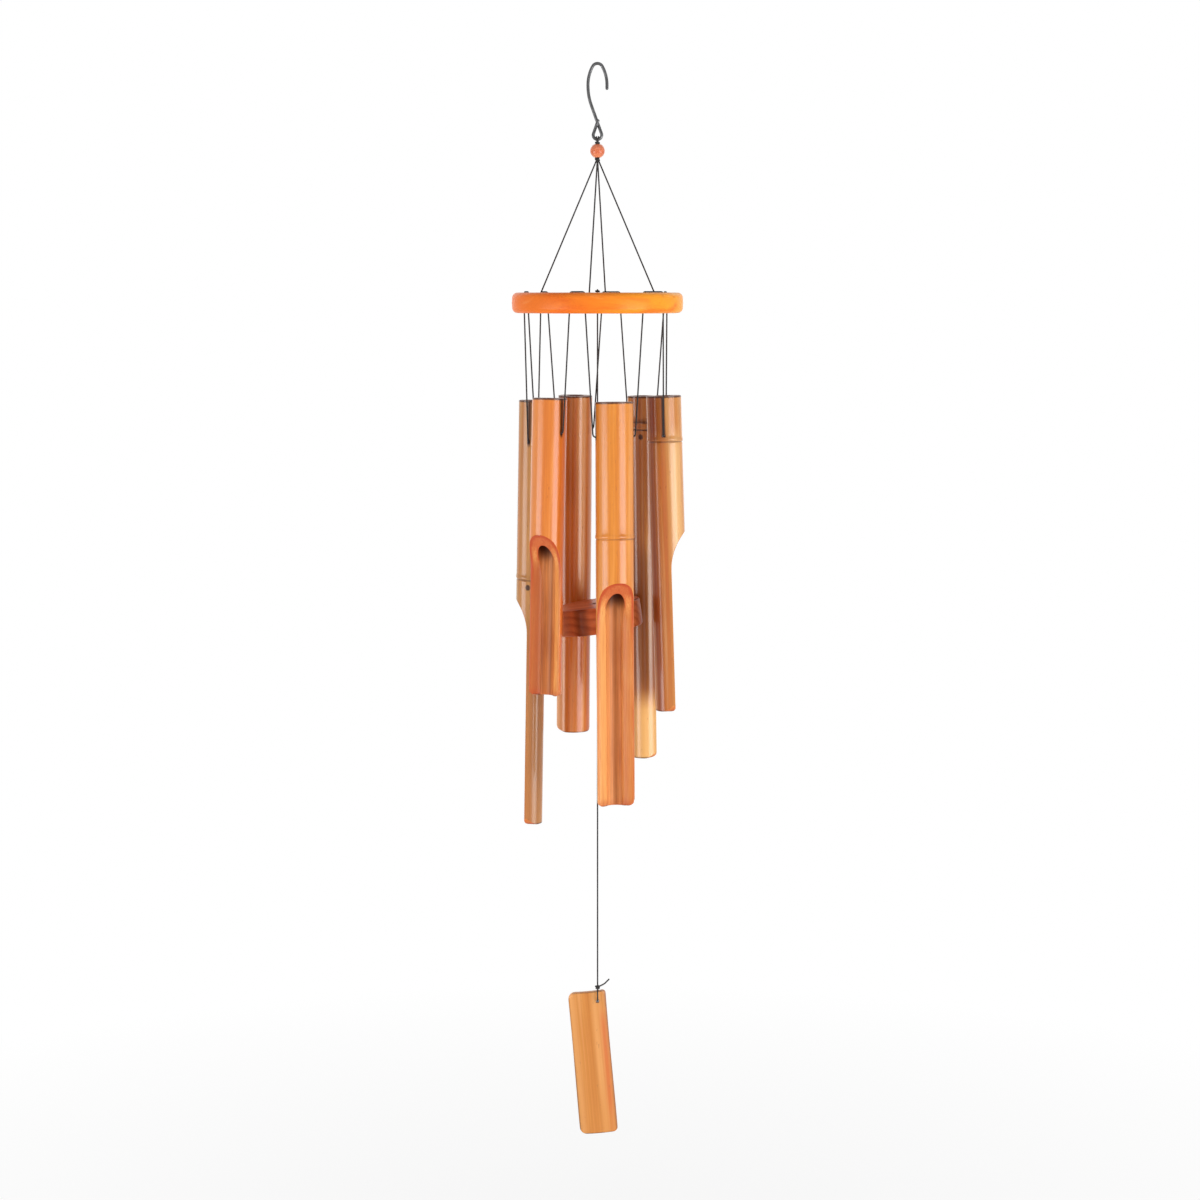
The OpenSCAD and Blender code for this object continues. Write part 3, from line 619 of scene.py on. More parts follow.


# Facts of the tubes

# A tint of painted light, painted shade or red stain: its name, a turn from the side that faces the front
# and a width, both in degrees, a top and a foot in mm below the rim, and an amount. Most light and shade
# tints paint the shade the tubes cast on each other, the lit and shaded faces of the cuts and the highlight
# bands on tubes 2 and 4; the rest are the bamboo's own tone
ABOVE, BELOW = -40, 400
TINT_FADE = 10
TubeFacts = namedtuple(
    "TubeFacts", "d length node cut twist tone stains double_ring bud", defaults=(False, None))
TUBES = {
    1: TubeFacts(24.0, 256, 84.5, 113, 0, GOLD, (
        ("shade", -82, 28, ABOVE, 120, 0.45), ("light", -112, 46, 128, BELOW, 0.6),
        ("shade", 114, 26, 120, BELOW, 0.5))),
    2: TubeFacts(22.5, 203, 28.0, 87, 9, HONEY, (
        ("shade", -45, 30, ABOVE, 30, 1.0), ("shade", -52, 22, 20, BELOW, 0.75),
        ("red", -22, 18, 40, BELOW, 0.4), ("light", 36, 22, 26, BELOW, 0.7))),
    3: TubeFacts(18.5, 239, 20.5, 109, 0, UMBER, (
        ("shade", 0, 80, 100, 190, 0.5), ("light", 10, 90, 200, BELOW, 0.95)), True, -6),
    4: TubeFacts(22.5, 223, None, 102, 0, RUSSET, (
        ("light", 27, 13, ABOVE, 130, 1.0), ("light", 66, 24, ABOVE, 130, 0.35),
        ("light", -60, 26, 150, BELOW, 0.65), ("shade", -12, 22, ABOVE, 70, 0.5))),
    5: TubeFacts(19.0, 277, 114.5, 129, 7, TAN, (
        ("shade", -88, 24, ABOVE, BELOW, 0.5), ("red", -66, 12, 20, 110, 0.25),
        ("red", 0, 90, 150, BELOW, 0.34), ("shade", 35, 55, 140, BELOW, 0.5)), False, -11),
    6: TubeFacts(22.0, 189, None, 86, 17, ORANGE, (
        ("red", 72, 30, ABOVE, BELOW, 0.5), ("light", -48, 20, ABOVE, 86, 0.3),
        ("shade", -128, 38, 100, BELOW, 0.9))),
}


def tube_angle(i):
    """Where a tube hangs round the chime, from the front towards +X."""
    place = pivot(f"tube_swing_{i}")
    return atan2(place.x, -place.y)


def tube_place(i):
    """The frame that a tube is modelled in: its cord as origin, +X outwards, +Z up, before it leans."""
    return Matrix.Translation(pivot(f"tube_rock_{i}")) @ Matrix.Rotation(tube_angle(i) - PI / 2, 4, "Z")


def tube_hang(i):
    """How far a CAD tube leans, and the distance from its cord to its top, measured on its rim."""
    place = tube_place(i)
    local = points_of(frame["nodes"][f"tube_{i}"].data)
    local = (local - np.array(place.translation)) @ np.array(place.to_3x3())
    rim_drop = 2.2 * MM
    rim = local[local[:, 2] > local[:, 2].max() - rim_drop]
    middle = (rim.min(0) + rim.max(0)) / 2
    return atan2(-middle[0], middle[2]), hypot(middle[0], middle[2])


# The chime's cords


def suspended(k, radius, z):
    """A point round the middle line, on the side of one of the four suspension cords."""
    return around(SUSPENSION_TURN + PI / 2 * k, radius, z)


def make_suspension(k):
    """A cord from the knot under the bead down through the disc, to its own knot in the disc's underside."""
    into_knot = 1.1 * MM
    foot = suspended(k, SUSPENSION_R, DISC_BOTTOM + RECESS_H - SEAT - CORD_D)
    line = rounded_route([
        suspended(k, STRAND_R, CANOPY_Z + into_knot), suspended(k, SUSPENSION_R, DISC_TOP), foot])
    node = f"suspension_cord_{k}"
    knot = cord_piece(f"suspension_foot_{k}", "canopy", node, loops=[overhand(foot, 1.15 * MM, 1.0 * MM, k)])
    free_cord(f"suspension_strand_{k}", line, "canopy", node)


def make_hanger():
    """The doubled loop on the hook's eye, the knots over and under the bead, and the strands in it."""
    aside, lean = 0.42 * MM, 0.14 * LOOP_R
    turn = np.array(turns(LOOP_STEPS))
    loops = [
        np.stack([side * (aside + lean * np.cos(turn)), LOOP_R * np.sin(turn),
                  EYE_BOTTOM + LOOP_R * np.cos(turn)], axis=1)
        for side in (-1, 1)]
    low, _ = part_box("hanger_cord")
    top = EYE_BOTTOM - LOOP_R - CORD_D / 2
    loops += knots((top, 1.3, 0.8, 0), (low.z + 1.45 * MM, 1.3, 0.9, 0.5), (low.z + 0.6 * MM, 1.2, 0.8, 1.6))
    strands = [evenly([suspended(k, STRAND_R, z) for z in (top, low.z + 0.2 * MM)]) for k in range(4)]
    cord_piece("hanger_loop", "hanger", "hanger_cord", *strands, loops=loops)


def make_tube_cord(i):
    """From one hole in the disc, down through the tube and up to the next hole."""
    place = tube_place(i)
    foot = TUBES[i].d / 2 * MM + LEG_STAND
    rise = pivot(f"tube_swing_{i}").z - pivot(f"tube_rock_{i}").z
    line = rounded_route([
        (0, -LACING_HALF_SPAN, rise), (0, -foot, 0), (0, foot, 0), (0, LACING_HALF_SPAN, rise)])
    line = line @ np.array(place.to_3x3()).T + np.array(place.translation)
    free_cord(f"tube_string_{i}", line, f"drop_{i}", f"tube_cord_{i}")


def lacing_holes():
    """The radius of the lacing's holes, and how far they lie to each side of their tube."""
    ring_r = hypot(*pivot("tube_swing_1").xy)
    return hypot(ring_r, LACING_HALF_SPAN), atan2(LACING_HALF_SPAN, ring_r)


def make_lacing():
    """The stitches over the disc, each from one tube's hole to the next tube's."""
    lacing_r, spread = lacing_holes()
    low = pivot("tube_swing_1").z + LACING_GAP + CORD_D / 2
    over = DISC_TOP + 0.4 * CORD_D
    lines = []
    for i in TUBES:
        start = tube_angle(i) + spread
        end = tube_angle(i % len(TUBES) + 1) - spread
        corners = ((start, low), (start, over), (end, over), (end, low))
        lines.append(rounded_route([around(angle, lacing_r, z) for angle, z in corners]))
    cord_piece("lacing", "canopy", "lacing_cord", *lines)


def make_centre_cord():
    """The stop knot on the disc, the cord to the striker and its knot, and the cord down to the sail."""
    low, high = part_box("striker_stop_knot")
    cord_piece("stop_knot", "striker_pivot", "striker_stop_knot",
               loops=knots((low.z + 0.7 * MM, 1.25, 0.45, 0)))
    knot_low, knot_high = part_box("striker_knot")
    line = evenly([(0, 0, high.z), (0, 0, knot_high.z - 1.2 * MM)])
    free_cord("striker_string", line, "striker_line", "striker_cord")
    middle = (knot_low.z + knot_high.z) / 2
    cord_piece("striker_stopper", "striker_line", "striker_knot",
               loops=knots((middle + 0.5 * MM, 2.1, 1.0, 0), (middle - 0.5 * MM, 1.8, 1.0, 0.9)))
    line = evenly([(0, 0, SAIL_LINE_Z), (0, 0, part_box("sail_cord")[0].z)])
    free_cord("sail_string", line, "sail_line", "sail_cord")


def make_sail_knot():
    """The knot over the sail, its cut tail, and the loop through the sail's hole."""
    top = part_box("sail_cord")[0].z
    box_low, box_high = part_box("sail_knot")
    front = box_low.y + CORD_D / 2
    back = box_high.y - CORD_D / 2
    neck, neck_z = 0.5 * MM, top - 1.5 * CORD_D
    leg_top = SAIL_LOOP_Z + SAIL_HOLE_TOP + CORD_D
    loop = rounded_route([
        (0, -neck, neck_z), (0, front, leg_top), (0, front, SAIL_LOOP_Z),
        (0, back, SAIL_LOOP_Z), (0, back, leg_top), (0, neck, neck_z)])
    foot = Vector((0, 0, top - CORD_D))
    first_rise = 0.8 * SAIL_TAIL_RISE
    tail = rounded_route([
        foot,
        foot + 0.55 * SAIL_TAIL * Vector((cos(first_rise), -0.1, sin(first_rise))),
        foot + SAIL_TAIL * Vector((cos(SAIL_TAIL_RISE), 0, sin(SAIL_TAIL_RISE)))], 6 * MM)
    cord_piece("sail_tie", "sail_line", "sail_knot", loop, tail,
               loops=knots((top - 0.6 * MM, 1.3, 0.9, 0.3), (top - 1.4 * MM, 1.1, 0.8, 1.3)))


# Hook

HOOK_STEP = 0.5 * MM
TAIL_STEPS = 16
# The balls that round the wire's ends are a little smaller than the wire
BALL_SHARE = 0.985


def wire_section(angle, travelled):
    return WIRE_D / 2


def hook_arc(centre, radius, start, end):
    """Points of an arc in the XZ plane, by angles from +X towards +Z."""
    steps = max(4, ceil(abs(end - start) * radius / HOOK_STEP))
    return [Vector((x, 0, z)) for x, z in arc(centre, radius, start, end, steps)]


def make_hook():
    """One wire: the open arm, the top bend, the shank that sweeps to the middle, and the eye."""
    mid_r = HOOK_R + WIRE_D / 2
    eye_mid_r = EYE_R + WIRE_D / 2
    eye_z = EYE_BOTTOM + eye_mid_r
    bend_x = mid_r * cos(HOOK_SPREAD) + HOOK_BEND_RUN * sin(HOOK_SPREAD)
    bend_z = mid_r * sin(HOOK_SPREAD) - HOOK_R - HOOK_BEND_RUN * cos(HOOK_SPREAD)
    side_x = bend_x - HOOK_SIDE_R * cos(HOOK_SPREAD)
    upright_z = bend_z - HOOK_SIDE_R * sin(HOOK_SPREAD)
    upright_x = side_x + HOOK_SIDE_R
    sweep = (HOOK_SWEEP_R - upright_x, upright_z - HOOK_SHANK)
    line = [Vector((upright_x, 0, upright_z - HOOK_ARM))]
    line += hook_arc((side_x, upright_z), HOOK_SIDE_R, 0, HOOK_SPREAD)
    line += hook_arc((0, -HOOK_R), mid_r, HOOK_SPREAD, PI - HOOK_SPREAD)
    line += hook_arc((-side_x, upright_z), HOOK_SIDE_R, PI - HOOK_SPREAD, PI)
    line += hook_arc(sweep, HOOK_SWEEP_R, PI, PI + HOOK_SLANT)
    line += hook_arc((0, eye_z), eye_mid_r, HOOK_SLANT, -PI - HOOK_SLANT)
    tail = eye_mid_r / tan(HOOK_SLANT) + WIRE_D / 2
    tail_foot = line[-1]
    up_tail = Vector((sin(HOOK_SLANT), 0, cos(HOOK_SLANT)))
    for share in (k / TAIL_STEPS for k in range(1, TAIL_STEPS + 1)):
        aside = -(WIRE_D + SEAT) * float(smooth(0, 0.75, share))
        line.append(tail_foot + tail * share * up_tail + Vector((0, aside, 0)))
    form = bmesh.new()
    route = evenly(line)
    add_tube(form, route, wire_section)
    for end in (route[0], route[-1]):
        bmesh.ops.create_uvsphere(form, u_segments=16, v_segments=10, radius=WIRE_D / 2 * BALL_SHARE,
                                  matrix=Matrix.Translation(end))
    piece("wire_hook", mesh_of("wire_hook", form, 80), "hook", "hook_steel", "hook", materials=[STEEL_LOOK])


# Turned wood

BORE_BURN = 1.2 * MM
WOOD_SHARP = 35
# Dark marks round the striker's rim: degrees from the front, and how wide. The mark at 70 is painted shade of
# the tubes beside it, the one at -21 is a darker patch, and the two others lie opposite them as end grain
STRIKER_MARKS = ((-21, 13), (70, 28), (159, 16), (-116, 20))


def make_bead():
    bore, lip, lip_r, lip_h = BEAD_BORE / 2, 0.25 * MM, 0.06 * MM, 0.03 * MM
    end = acos((bore + lip) / (BEAD_D / 2))
    outside = arc((0, 0), BEAD_D / 2, -end, end, 28)
    half = outside[-1][1]
    mouth = [(bore + lip_r, half - lip_h), (bore, half - lip)]
    mesh = turned("turned_bead", outside + mouth + [(r, -z) for r, z in reversed(mouth)], segments=48)
    height = points_of(mesh)[:, 2]
    give(mesh, scorch=smooth(half * 0.9, half * 1.02, np.abs(height)))
    piece("turned_bead", mesh, "bead", "bead_wood", "bead", materials=[BEAD_LOOK],
          place=hung_at(BEAD_Z))


def slab_profile(radius, thickness, edge, hole):
    """A round of wood about Z with rounded edges and a hole, as a closed profile."""
    top = thickness / 2
    break_r, belly = 0.35 * MM, 0.15 * MM
    rings = [radius * share for share in (0.3, 0.6, 0.85)]
    return [
        (hole + break_r, -top), *((r, -top) for r in rings),
        *arc((radius - edge, -top + edge), edge, -PI / 2, 0, 8), (radius + belly, 0),
        *arc((radius - edge, top - edge), edge, 0, PI / 2, 8), *((r, top) for r in reversed(rings)),
        (hole + break_r, top), (hole, top - break_r), (hole, -top + break_r)]


def make_disc():
    """The top disc, drilled for the cords, its holes darkened by the drill."""
    top = (DISC_TOP - DISC_BOTTOM) / 2
    past = 2 * MM
    hole_r = DISC_HOLE_D / 2
    mesh = turned("laced_disc", slab_profile(DISC_R, 2 * top, DISC_EDGE, hole_r), segments=160)
    recessed = [(0, -top - past), (RECESS_D / 2, -top - past), (RECESS_D / 2, -top + RECESS_H),
                (hole_r, -top + RECESS_H), (hole_r, top + past), (0, top + past)]
    lipped = [(0, -top - past), (hole_r, -top - past), (hole_r, top - HOLE_LIP),
              (hole_r + 2 * HOLE_LIP, top + HOLE_LIP), (0, top + HOLE_LIP)]
    lacing_r, spread = lacing_holes()
    hung = [suspended(k, SUSPENSION_R, 0) for k in range(4)]
    laced = [around(tube_angle(i) + s * spread, lacing_r, 0) for i in TUBES for s in (-1, 1)]
    drills = [(profile, Matrix.Translation(h))
              for profile, holes in ((recessed, hung), (lipped, laced)) for h in holes]
    mesh = drilled(mesh, drills, WOOD_SHARP)
    spots = points_of(mesh)[:, :2]
    away = np.min([np.linalg.norm(spots - np.array(h.xy), axis=1) for h in [*hung, *laced, Vector()]], axis=0)
    give(mesh, scorch=fade(hole_r, hole_r + BORE_BURN, away))
    piece("laced_disc", mesh, "canopy", "disc_wood", "top_disc", materials=[DISC_LOOK],
          place=hung_at((DISC_TOP + DISC_BOTTOM) / 2))


def make_striker():
    bore = STRIKER_BORE / 2
    profile = slab_profile(STRIKER_R, STRIKER_T, STRIKER_EDGE, bore)
    mesh = turned("round_striker", profile, segments=128, sharp=WOOD_SHARP)
    x, y, _ = points_of(mesh).T
    radius, turn = np.hypot(x, y), np.degrees(np.arctan2(x, -y))
    marks = np.maximum.reduce([bell((turn - at) / width) for at, width in STRIKER_MARKS])
    rim = smooth(STRIKER_R - 4 * MM, STRIKER_R - STRIKER_EDGE, radius)
    # The bore's burn, and the dark marks round the rim, one of them painted shade
    give(mesh, scorch=np.maximum(fade(bore, bore + BORE_BURN, radius), marks * rim))
    piece("round_striker", mesh, "striker", "striker_wood", "striker", materials=[STRIKER_LOOK],
          place=hung_at(STRIKER_Z, STRIKER_TILT))


# Bamboo tubes

SKIN, FACE, LINING = 0, 1, 2
TUBE_COLUMNS = 60
FOOT_RUN = 9 * MM
ROW_STEP, ROW_GAP = 5 * MM, 0.12 * MM
EDGE_ROUND = 0.5 * MM
EDGE_PULL = EDGE_ROUND * (1 - cos(PI / 4))
# Where the points of a flat strip lie between its two rounded edges
STRIP = (0.0, 0.1, 0.3, 0.5, 0.7, 0.9, 1.0)
UP, DOWN = Vector((0, 0, 1)), Vector((0, 0, -1))
# How oval and how wavy the skin and the bore are, and the length of their waves
SKIN_OVAL, SKIN_WAVE, SKIN_RUN = 0.006, 0.1 * MM, 31 * MM
BORE_OVAL, BORE_WAVE, BORE_RUN = 0.008, 0.08 * MM, 17 * MM
# Ridges and grooves of a node, in mm: how far above it, how wide and how high
NODE_FORM = ((0, 1.3, 0.35), (-1.5, 0.45, -0.32))
SECOND_RING = ((4.6, 0.8, 0.3), (3.2, 0.4, -0.25))


class Culm:
    """The shape of one tube about its cord, with its cut towards +X."""

    def __init__(self, i):
        facts = TUBES[i]
        self.facts = facts
        self.phase = 1.7 * i
        self.lean, self.top = tube_hang(i)
        self.twist = radians(facts.twist)
        self.front = -tube_angle(i) - self.twist
        self.r = facts.d / 2 * MM
        self.bore = self.r * (1 - 2 * WALL_SHARE)
        self.foot = self.top - facts.length * MM
        self.start = self.top - facts.cut * MM
        self.face_top = self.start - self.rise_at(self.r)
        self.breakthrough = self.face_top + self.rise_at(self.bore)
        self.node = None if facts.node is None else self.top - facts.node * MM
        self.rings = NODE_FORM + SECOND_RING if facts.double_ring else NODE_FORM

    def rise_at(self, x):
        """How far above the flat of the cut its hollow curve reaches a distance from the middle."""
        return sqrt(CUT_R ** 2 - (CUT_R - (x - CUT_OFFSET)) ** 2)

    def cut_x(self, z):
        """How far out the cut lies at a height. Above its start that is outside the tube."""
        if z >= self.start:
            return 2 * self.r
        rise = max(z - self.face_top, 0)
        return CUT_OFFSET + CUT_R - sqrt(max(CUT_R ** 2 - rise ** 2, 0))

    def lining_x(self, z):
        """How far out the cut meets the bore, where its faces are worn down into the trough."""
        worn = float(smooth(self.breakthrough, self.face_top - 8 * MM, z))
        return self.cut_x(z) - 2 * self.r * CUT_DISH * worn

    def cut_normal(self, z):
        sine = min(max(z - self.face_top, 0) / CUT_R, 1)
        return Vector((sqrt(1 - sine ** 2), 0, -sine))

    def opening(self, z, radius):
        """The half angle that the cut opens in a wall of the given radius."""
        if z >= (self.start if radius == self.r else self.breakthrough):
            return 0
        edge = self.cut_x(z) if radius == self.r else self.lining_x(z)
        return acos(min(edge / radius, 1))

    def ring_height(self, angle):
        """The node ring isn't quite level."""
        return self.node + 0.5 * MM * np.sin(angle + self.phase)

    def outside(self, angle, z):
        """Radius of the skin: a little oval and uneven, with its node's ridges and its bud."""
        r = self.r * (1 + SKIN_OVAL * cos(2 * angle + self.phase))
        r += SKIN_WAVE * sin(z / SKIN_RUN + self.phase) * cos(angle - self.phase)
        if self.node is None:
            return r
        off = (z - self.ring_height(angle)) / MM
        for above, width, height in self.rings:
            r += height * MM * exp(-((off - above) / width) ** 2)
        if self.facts.bud is not None:
            spot = hypot(self.bud_turn(angle) * self.r / (2.6 * MM), (off + BUD_DROP / MM) / 2.8)
            r += 0.4 * MM * exp(-spot ** 2) - 0.5 * MM * exp(-(spot / 0.45) ** 2)
        return r

    def inside(self, angle, z):
        oval = 1 + BORE_OVAL * cos(2 * angle + self.phase)
        return self.bore * oval - BORE_WAVE * sin(z / BORE_RUN)

    def from_front(self, angle, degrees):
        """How far an angle lies from the one that is the given turn from the front, to the right."""
        return (angle - self.front - radians(degrees) + PI) % (2 * PI) - PI

    def bud_turn(self, angle):
        return self.from_front(angle, self.facts.bud)

    def lifted(self, y, z):
        """A height, lifted where the lower corners of the tongue are rounded."""
        past = min(max(abs(y) - (self.r - TONGUE_CORNER), 0), TONGUE_CORNER)
        lift = TONGUE_CORNER - sqrt(TONGUE_CORNER ** 2 - past ** 2)
        return z + lift * (1 - min((z - self.foot) / FOOT_RUN, 1))

    def point(self, radius, angle, z):
        """A point of a wall."""
        y = radius * sin(angle)
        return Vector((radius * cos(angle), y, self.lifted(y, z)))


def spaced_heights(high, low, marks, fine):
    """Heights from high to low that hold every mark, closer together inside the fine stretches."""
    heights = {high, low, *marks}
    z = high
    while z > low:
        heights.add(z)
        z -= min([step for top, bottom, step in fine if bottom <= z <= top], default=ROW_STEP)
    kept = []
    for z in sorted(heights, reverse=True):
        if not kept or z in marks or z == low or min(abs(z - m) for m in (kept[-1], low, *marks)) > ROW_GAP:
            kept.append(z)
    return kept


def tube_heights(culm):
    marks = [culm.start, culm.breakthrough, culm.face_top]
    for opening in (radians(a) for a in (4, 8, 12, 16, 20, 25, 30)):
        marks += [culm.face_top + culm.rise_at(radius * cos(opening)) for radius in (culm.r, culm.bore)]
    fine = [(culm.start, culm.face_top, 1.2 * MM), (culm.foot + FOOT_RUN, culm.foot, 1.2 * MM),
            (culm.top, culm.top - 1.5 * MM, 0.5 * MM)]
    if culm.node is not None:
        marks += [culm.node + SEPTUM / 2, culm.node - SEPTUM / 2]
        fine.append((culm.node + 7 * MM, culm.node - 9 * MM, 0.4 * MM))
    return spaced_heights(culm.top, culm.foot, marks, fine)


def columns(opening, radius):
    """Angles of a grid's columns round a tube, with close ones at the edges of its opening."""
    if opening == 0:
        return list(np.linspace(0, 2 * PI, TUBE_COLUMNS + 1))
    edge = min(EDGE_ROUND / radius, (PI - opening) / TUBE_COLUMNS)
    inner = np.linspace(opening + edge, 2 * PI - opening - edge, TUBE_COLUMNS - 1)
    return [opening, *inner, 2 * PI - opening]


def eased(corner, *normals):
    """A corner point, pulled in as a small round along its edge would."""
    return corner - sum(normals, Vector()) * EDGE_PULL


def wall_rows(culm, heights, radius, shape, outward):
    """The rows of points on one wall, as cut and then with their edges eased."""
    sharp, soft = {}, {}
    for z in heights:
        opening = culm.opening(z, radius)
        angles = columns(opening, radius)
        sharp[z] = [culm.point(shape(angle, z), angle, z) for angle in angles]
        soft[z] = []
        for j, (angle, here) in enumerate(zip(angles, sharp[z])):
            out = outward * Vector((cos(angle), sin(angle), 0))
            pulls = [out, culm.cut_normal(z)] if opening and j in (0, TUBE_COLUMNS) else []
            pulls += [out, UP] if z == culm.top else []
            pulls += [out, DOWN] if z == culm.foot else []
            soft[z].append(eased(here, *pulls))
    return sharp, soft


def strip_between(culm, z, sharp_a, sharp_b, soft_a, soft_b, *normals, dish=0):
    """Points across a strip between two eased corners. A dish of 1 lets it curve down to its inner end."""
    inner = []
    for share in STRIP[1:-1]:
        flat = sharp_a.lerp(sharp_b, share)
        worn = (sharp_b.x - sharp_a.x) * (share ** 1.5 - share) * dish
        inner.append(eased(Vector((flat.x + worn, flat.y, culm.lifted(flat.y, z))), *normals))
    return [soft_a, *inner, soft_b]


def add_cut_strip(form, culm, heights, column, skin, lining):
    """One side of the cut: beside its trough, and up to its middle line where it hasn't reached the bore."""
    sharp, soft = skin
    rows = []
    for z in heights:
        a, soft_a = sharp[z][column], soft[z][column]
        if z >= culm.start:
            rows.append([soft_a] * len(STRIP))
            continue
        if z > culm.breakthrough:
            b = soft_b = Vector((culm.cut_x(z), 0, z))
        else:
            b, soft_b = lining[0][z][column], lining[1][z][column]
        ends = [culm.cut_normal(z), DOWN] if z == culm.foot else []
        rows.append(strip_between(culm, z, a, b, soft_a, soft_b, *ends, dish=z <= culm.breakthrough))
    add_grid(form, rows, FACE)
    return rows[-1]


def close_with_septum(form, ring):
    """A wall across the bore, from its edge to the middle."""
    middle = Vector((0, 0, ring[0].z))
    add_grid(form, [[p.lerp(middle, share) for p in ring] for share in (0, 0.25, 0.6, 0.9, 1)], LINING)


def tube_form(culm):
    """The closed mesh of a tube: skin, lining, cut faces, rims and septum."""
    form = bmesh.new()
    heights = tube_heights(culm)
    skin = wall_rows(culm, heights, culm.r, culm.outside, 1)
    lining = wall_rows(culm, heights, culm.bore, culm.inside, -1)
    add_grid(form, [skin[1][z] for z in heights], SKIN)
    upper, lower = heights, []
    if culm.node is not None:
        upper = [z for z in heights if z >= culm.node + SEPTUM / 2]
        lower = [z for z in heights if z <= culm.node - SEPTUM / 2]
        close_with_septum(form, lining[1][upper[-1]])
        close_with_septum(form, lining[1][lower[0]])
    for stretch in (upper, lower):
        add_grid(form, [lining[1][z] for z in stretch], LINING)
    cut_heights = [z for z in heights if z <= culm.start]
    foot_ends = [add_cut_strip(form, culm, cut_heights, column, skin, lining) for column in (0, TUBE_COLUMNS)]
    for z in (culm.top, culm.foot):
        corners = zip(skin[0][z], lining[0][z], skin[1][z], lining[1][z])
        rim = [strip_between(culm, z, *four) for four in corners]
        if z == culm.foot:
            rim[0], rim[-1] = foot_ends
        add_grid(form, rim, FACE)
    return form


def true_normals(mesh, culm):
    """Gives the skin the normals of its smooth form, so that its sheen runs straight past the cut."""
    normals = [Vector(n.vector) for n in mesh.corner_normals]
    step = 0.1 * MM
    for face in mesh.polygons:
        out = Vector((face.center.x, face.center.y, 0)).normalized()
        if face.material_index != SKIN or face.normal.dot(out) < 0.85:
            continue
        for loop in face.loop_indices:
            x, y, z = mesh.vertices[mesh.loops[loop].vertex_index].co
            angle = atan2(y, x)
            slope = (culm.outside(angle, z + step) - culm.outside(angle, z - step)) / (2 * step)
            normals[loop] = Vector((cos(angle), sin(angle), -slope)).normalized()
    mesh.normals_split_custom_set(normals)


def tube_burn_and_shade(culm, x, y, z):
    """How dark each point is: the burnt rims and string holes, the painted shadow of each string from its hole up
    to the rim, and the node.
    """
    angle = np.arctan2(y, x)
    across = x * cos(culm.twist) - y * sin(culm.twist)
    along = x * sin(culm.twist) + y * cos(culm.twist)
    # The strip under the string, from its hole up to the rim, where its shadow is painted
    over_hole = (np.abs(along) > 0.8 * culm.r) * (z > -HOLE_RISE)
    foot_amount = np.where(np.cos(angle) < 0, 0.8, 0.4)
    burns_and_shade = [
        fade(0.3 * MM, 2.0 * MM, culm.top - z),
        fade(STRING_HOLE_R - 0.1 * MM, STRING_HOLE_R + 0.8 * MM, np.hypot(across, z + HOLE_RISE)),
        0.85 * fade(0.8 * MM, 1.9 * MM, np.abs(across)) * over_hole,
        foot_amount * fade(0.3 * MM, 1.5 * MM, z - culm.foot)]
    if culm.node is not None:
        off = z - culm.ring_height(angle)
        line_amount = 0.9 if culm.facts.double_ring else 0.58
        burns_and_shade += [line_amount * bell((off + 1.5 * MM) / (0.7 * MM)), 0.28 * bell(off / (4 * MM))]
        if culm.facts.double_ring:
            burns_and_shade.append(0.8 * bell((off - 3.2 * MM) / (0.8 * MM)))
        if culm.facts.bud is not None:
            spot = np.hypot(culm.bud_turn(angle) * culm.r / (1.7 * MM), (off + BUD_DROP) / (2.1 * MM))
            burns_and_shade.append(fade(0.5, 1.3, spot))
    return np.maximum.reduce(burns_and_shade)


def tube_edge(culm, x, y, z):
    """How red each point of the cut is: its outer edges, its arch, its foot and the mouth of the hollow."""
    radius = np.hypot(x, y)
    on_cut = np.abs(x - np.array([culm.cut_x(h) for h in z])) < 0.8 * MM
    arch = smooth(culm.face_top - 26 * MM, culm.breakthrough, z)
    return (z < culm.start + 1 * MM) * np.maximum.reduce([
        fade(0.8 * MM, 3.2 * MM, culm.r - radius) * on_cut * (0.45 + 0.55 * arch),
        0.72 * smooth(culm.breakthrough - 11 * MM, culm.breakthrough + 1 * MM, z) * on_cut,
        0.6 * fade(0, FOOT_RUN, z - culm.foot),
        0.8 * fade(0.2 * MM, 1.6 * MM, np.abs(radius - culm.bore)) * (x > 0) * arch])


def paint_tube(mesh, culm):
    """Numbers for the materials: burnt places, red cut edges, red stain, painted light and shade, and shade in the
    hollow.
    """
    x, y, z = points_of(mesh).T
    depth = (culm.top - z) / MM
    tints = {tint: np.zeros(len(z)) for tint in ("shade", "light", "red")}
    # Painted light, painted shade and red stain, from the tube's tints
    for tint, turn, width, top, foot, amount in culm.facts.stains:
        off = culm.from_front(np.arctan2(y, x), turn) / radians(width)
        ends = (smooth(top - TINT_FADE, top + TINT_FADE, depth)
                * fade(foot - TINT_FADE, foot + TINT_FADE, depth))
        tints[tint] = np.maximum(tints[tint], amount * bell(off) * ends)
    # Painted shade up in the hollow, and in a line along the middle of the trough
    hollow = smooth(culm.breakthrough - 13 * MM, culm.breakthrough - 2 * MM, z)
    groove = 0.4 * bell((y / culm.bore - 0.22) / 0.24) * (x < 0)
    give(mesh, scorch=tube_burn_and_shade(culm, x, y, z), edge=tube_edge(culm, x, y, z),
         hollow=np.maximum(hollow, groove), **tints)


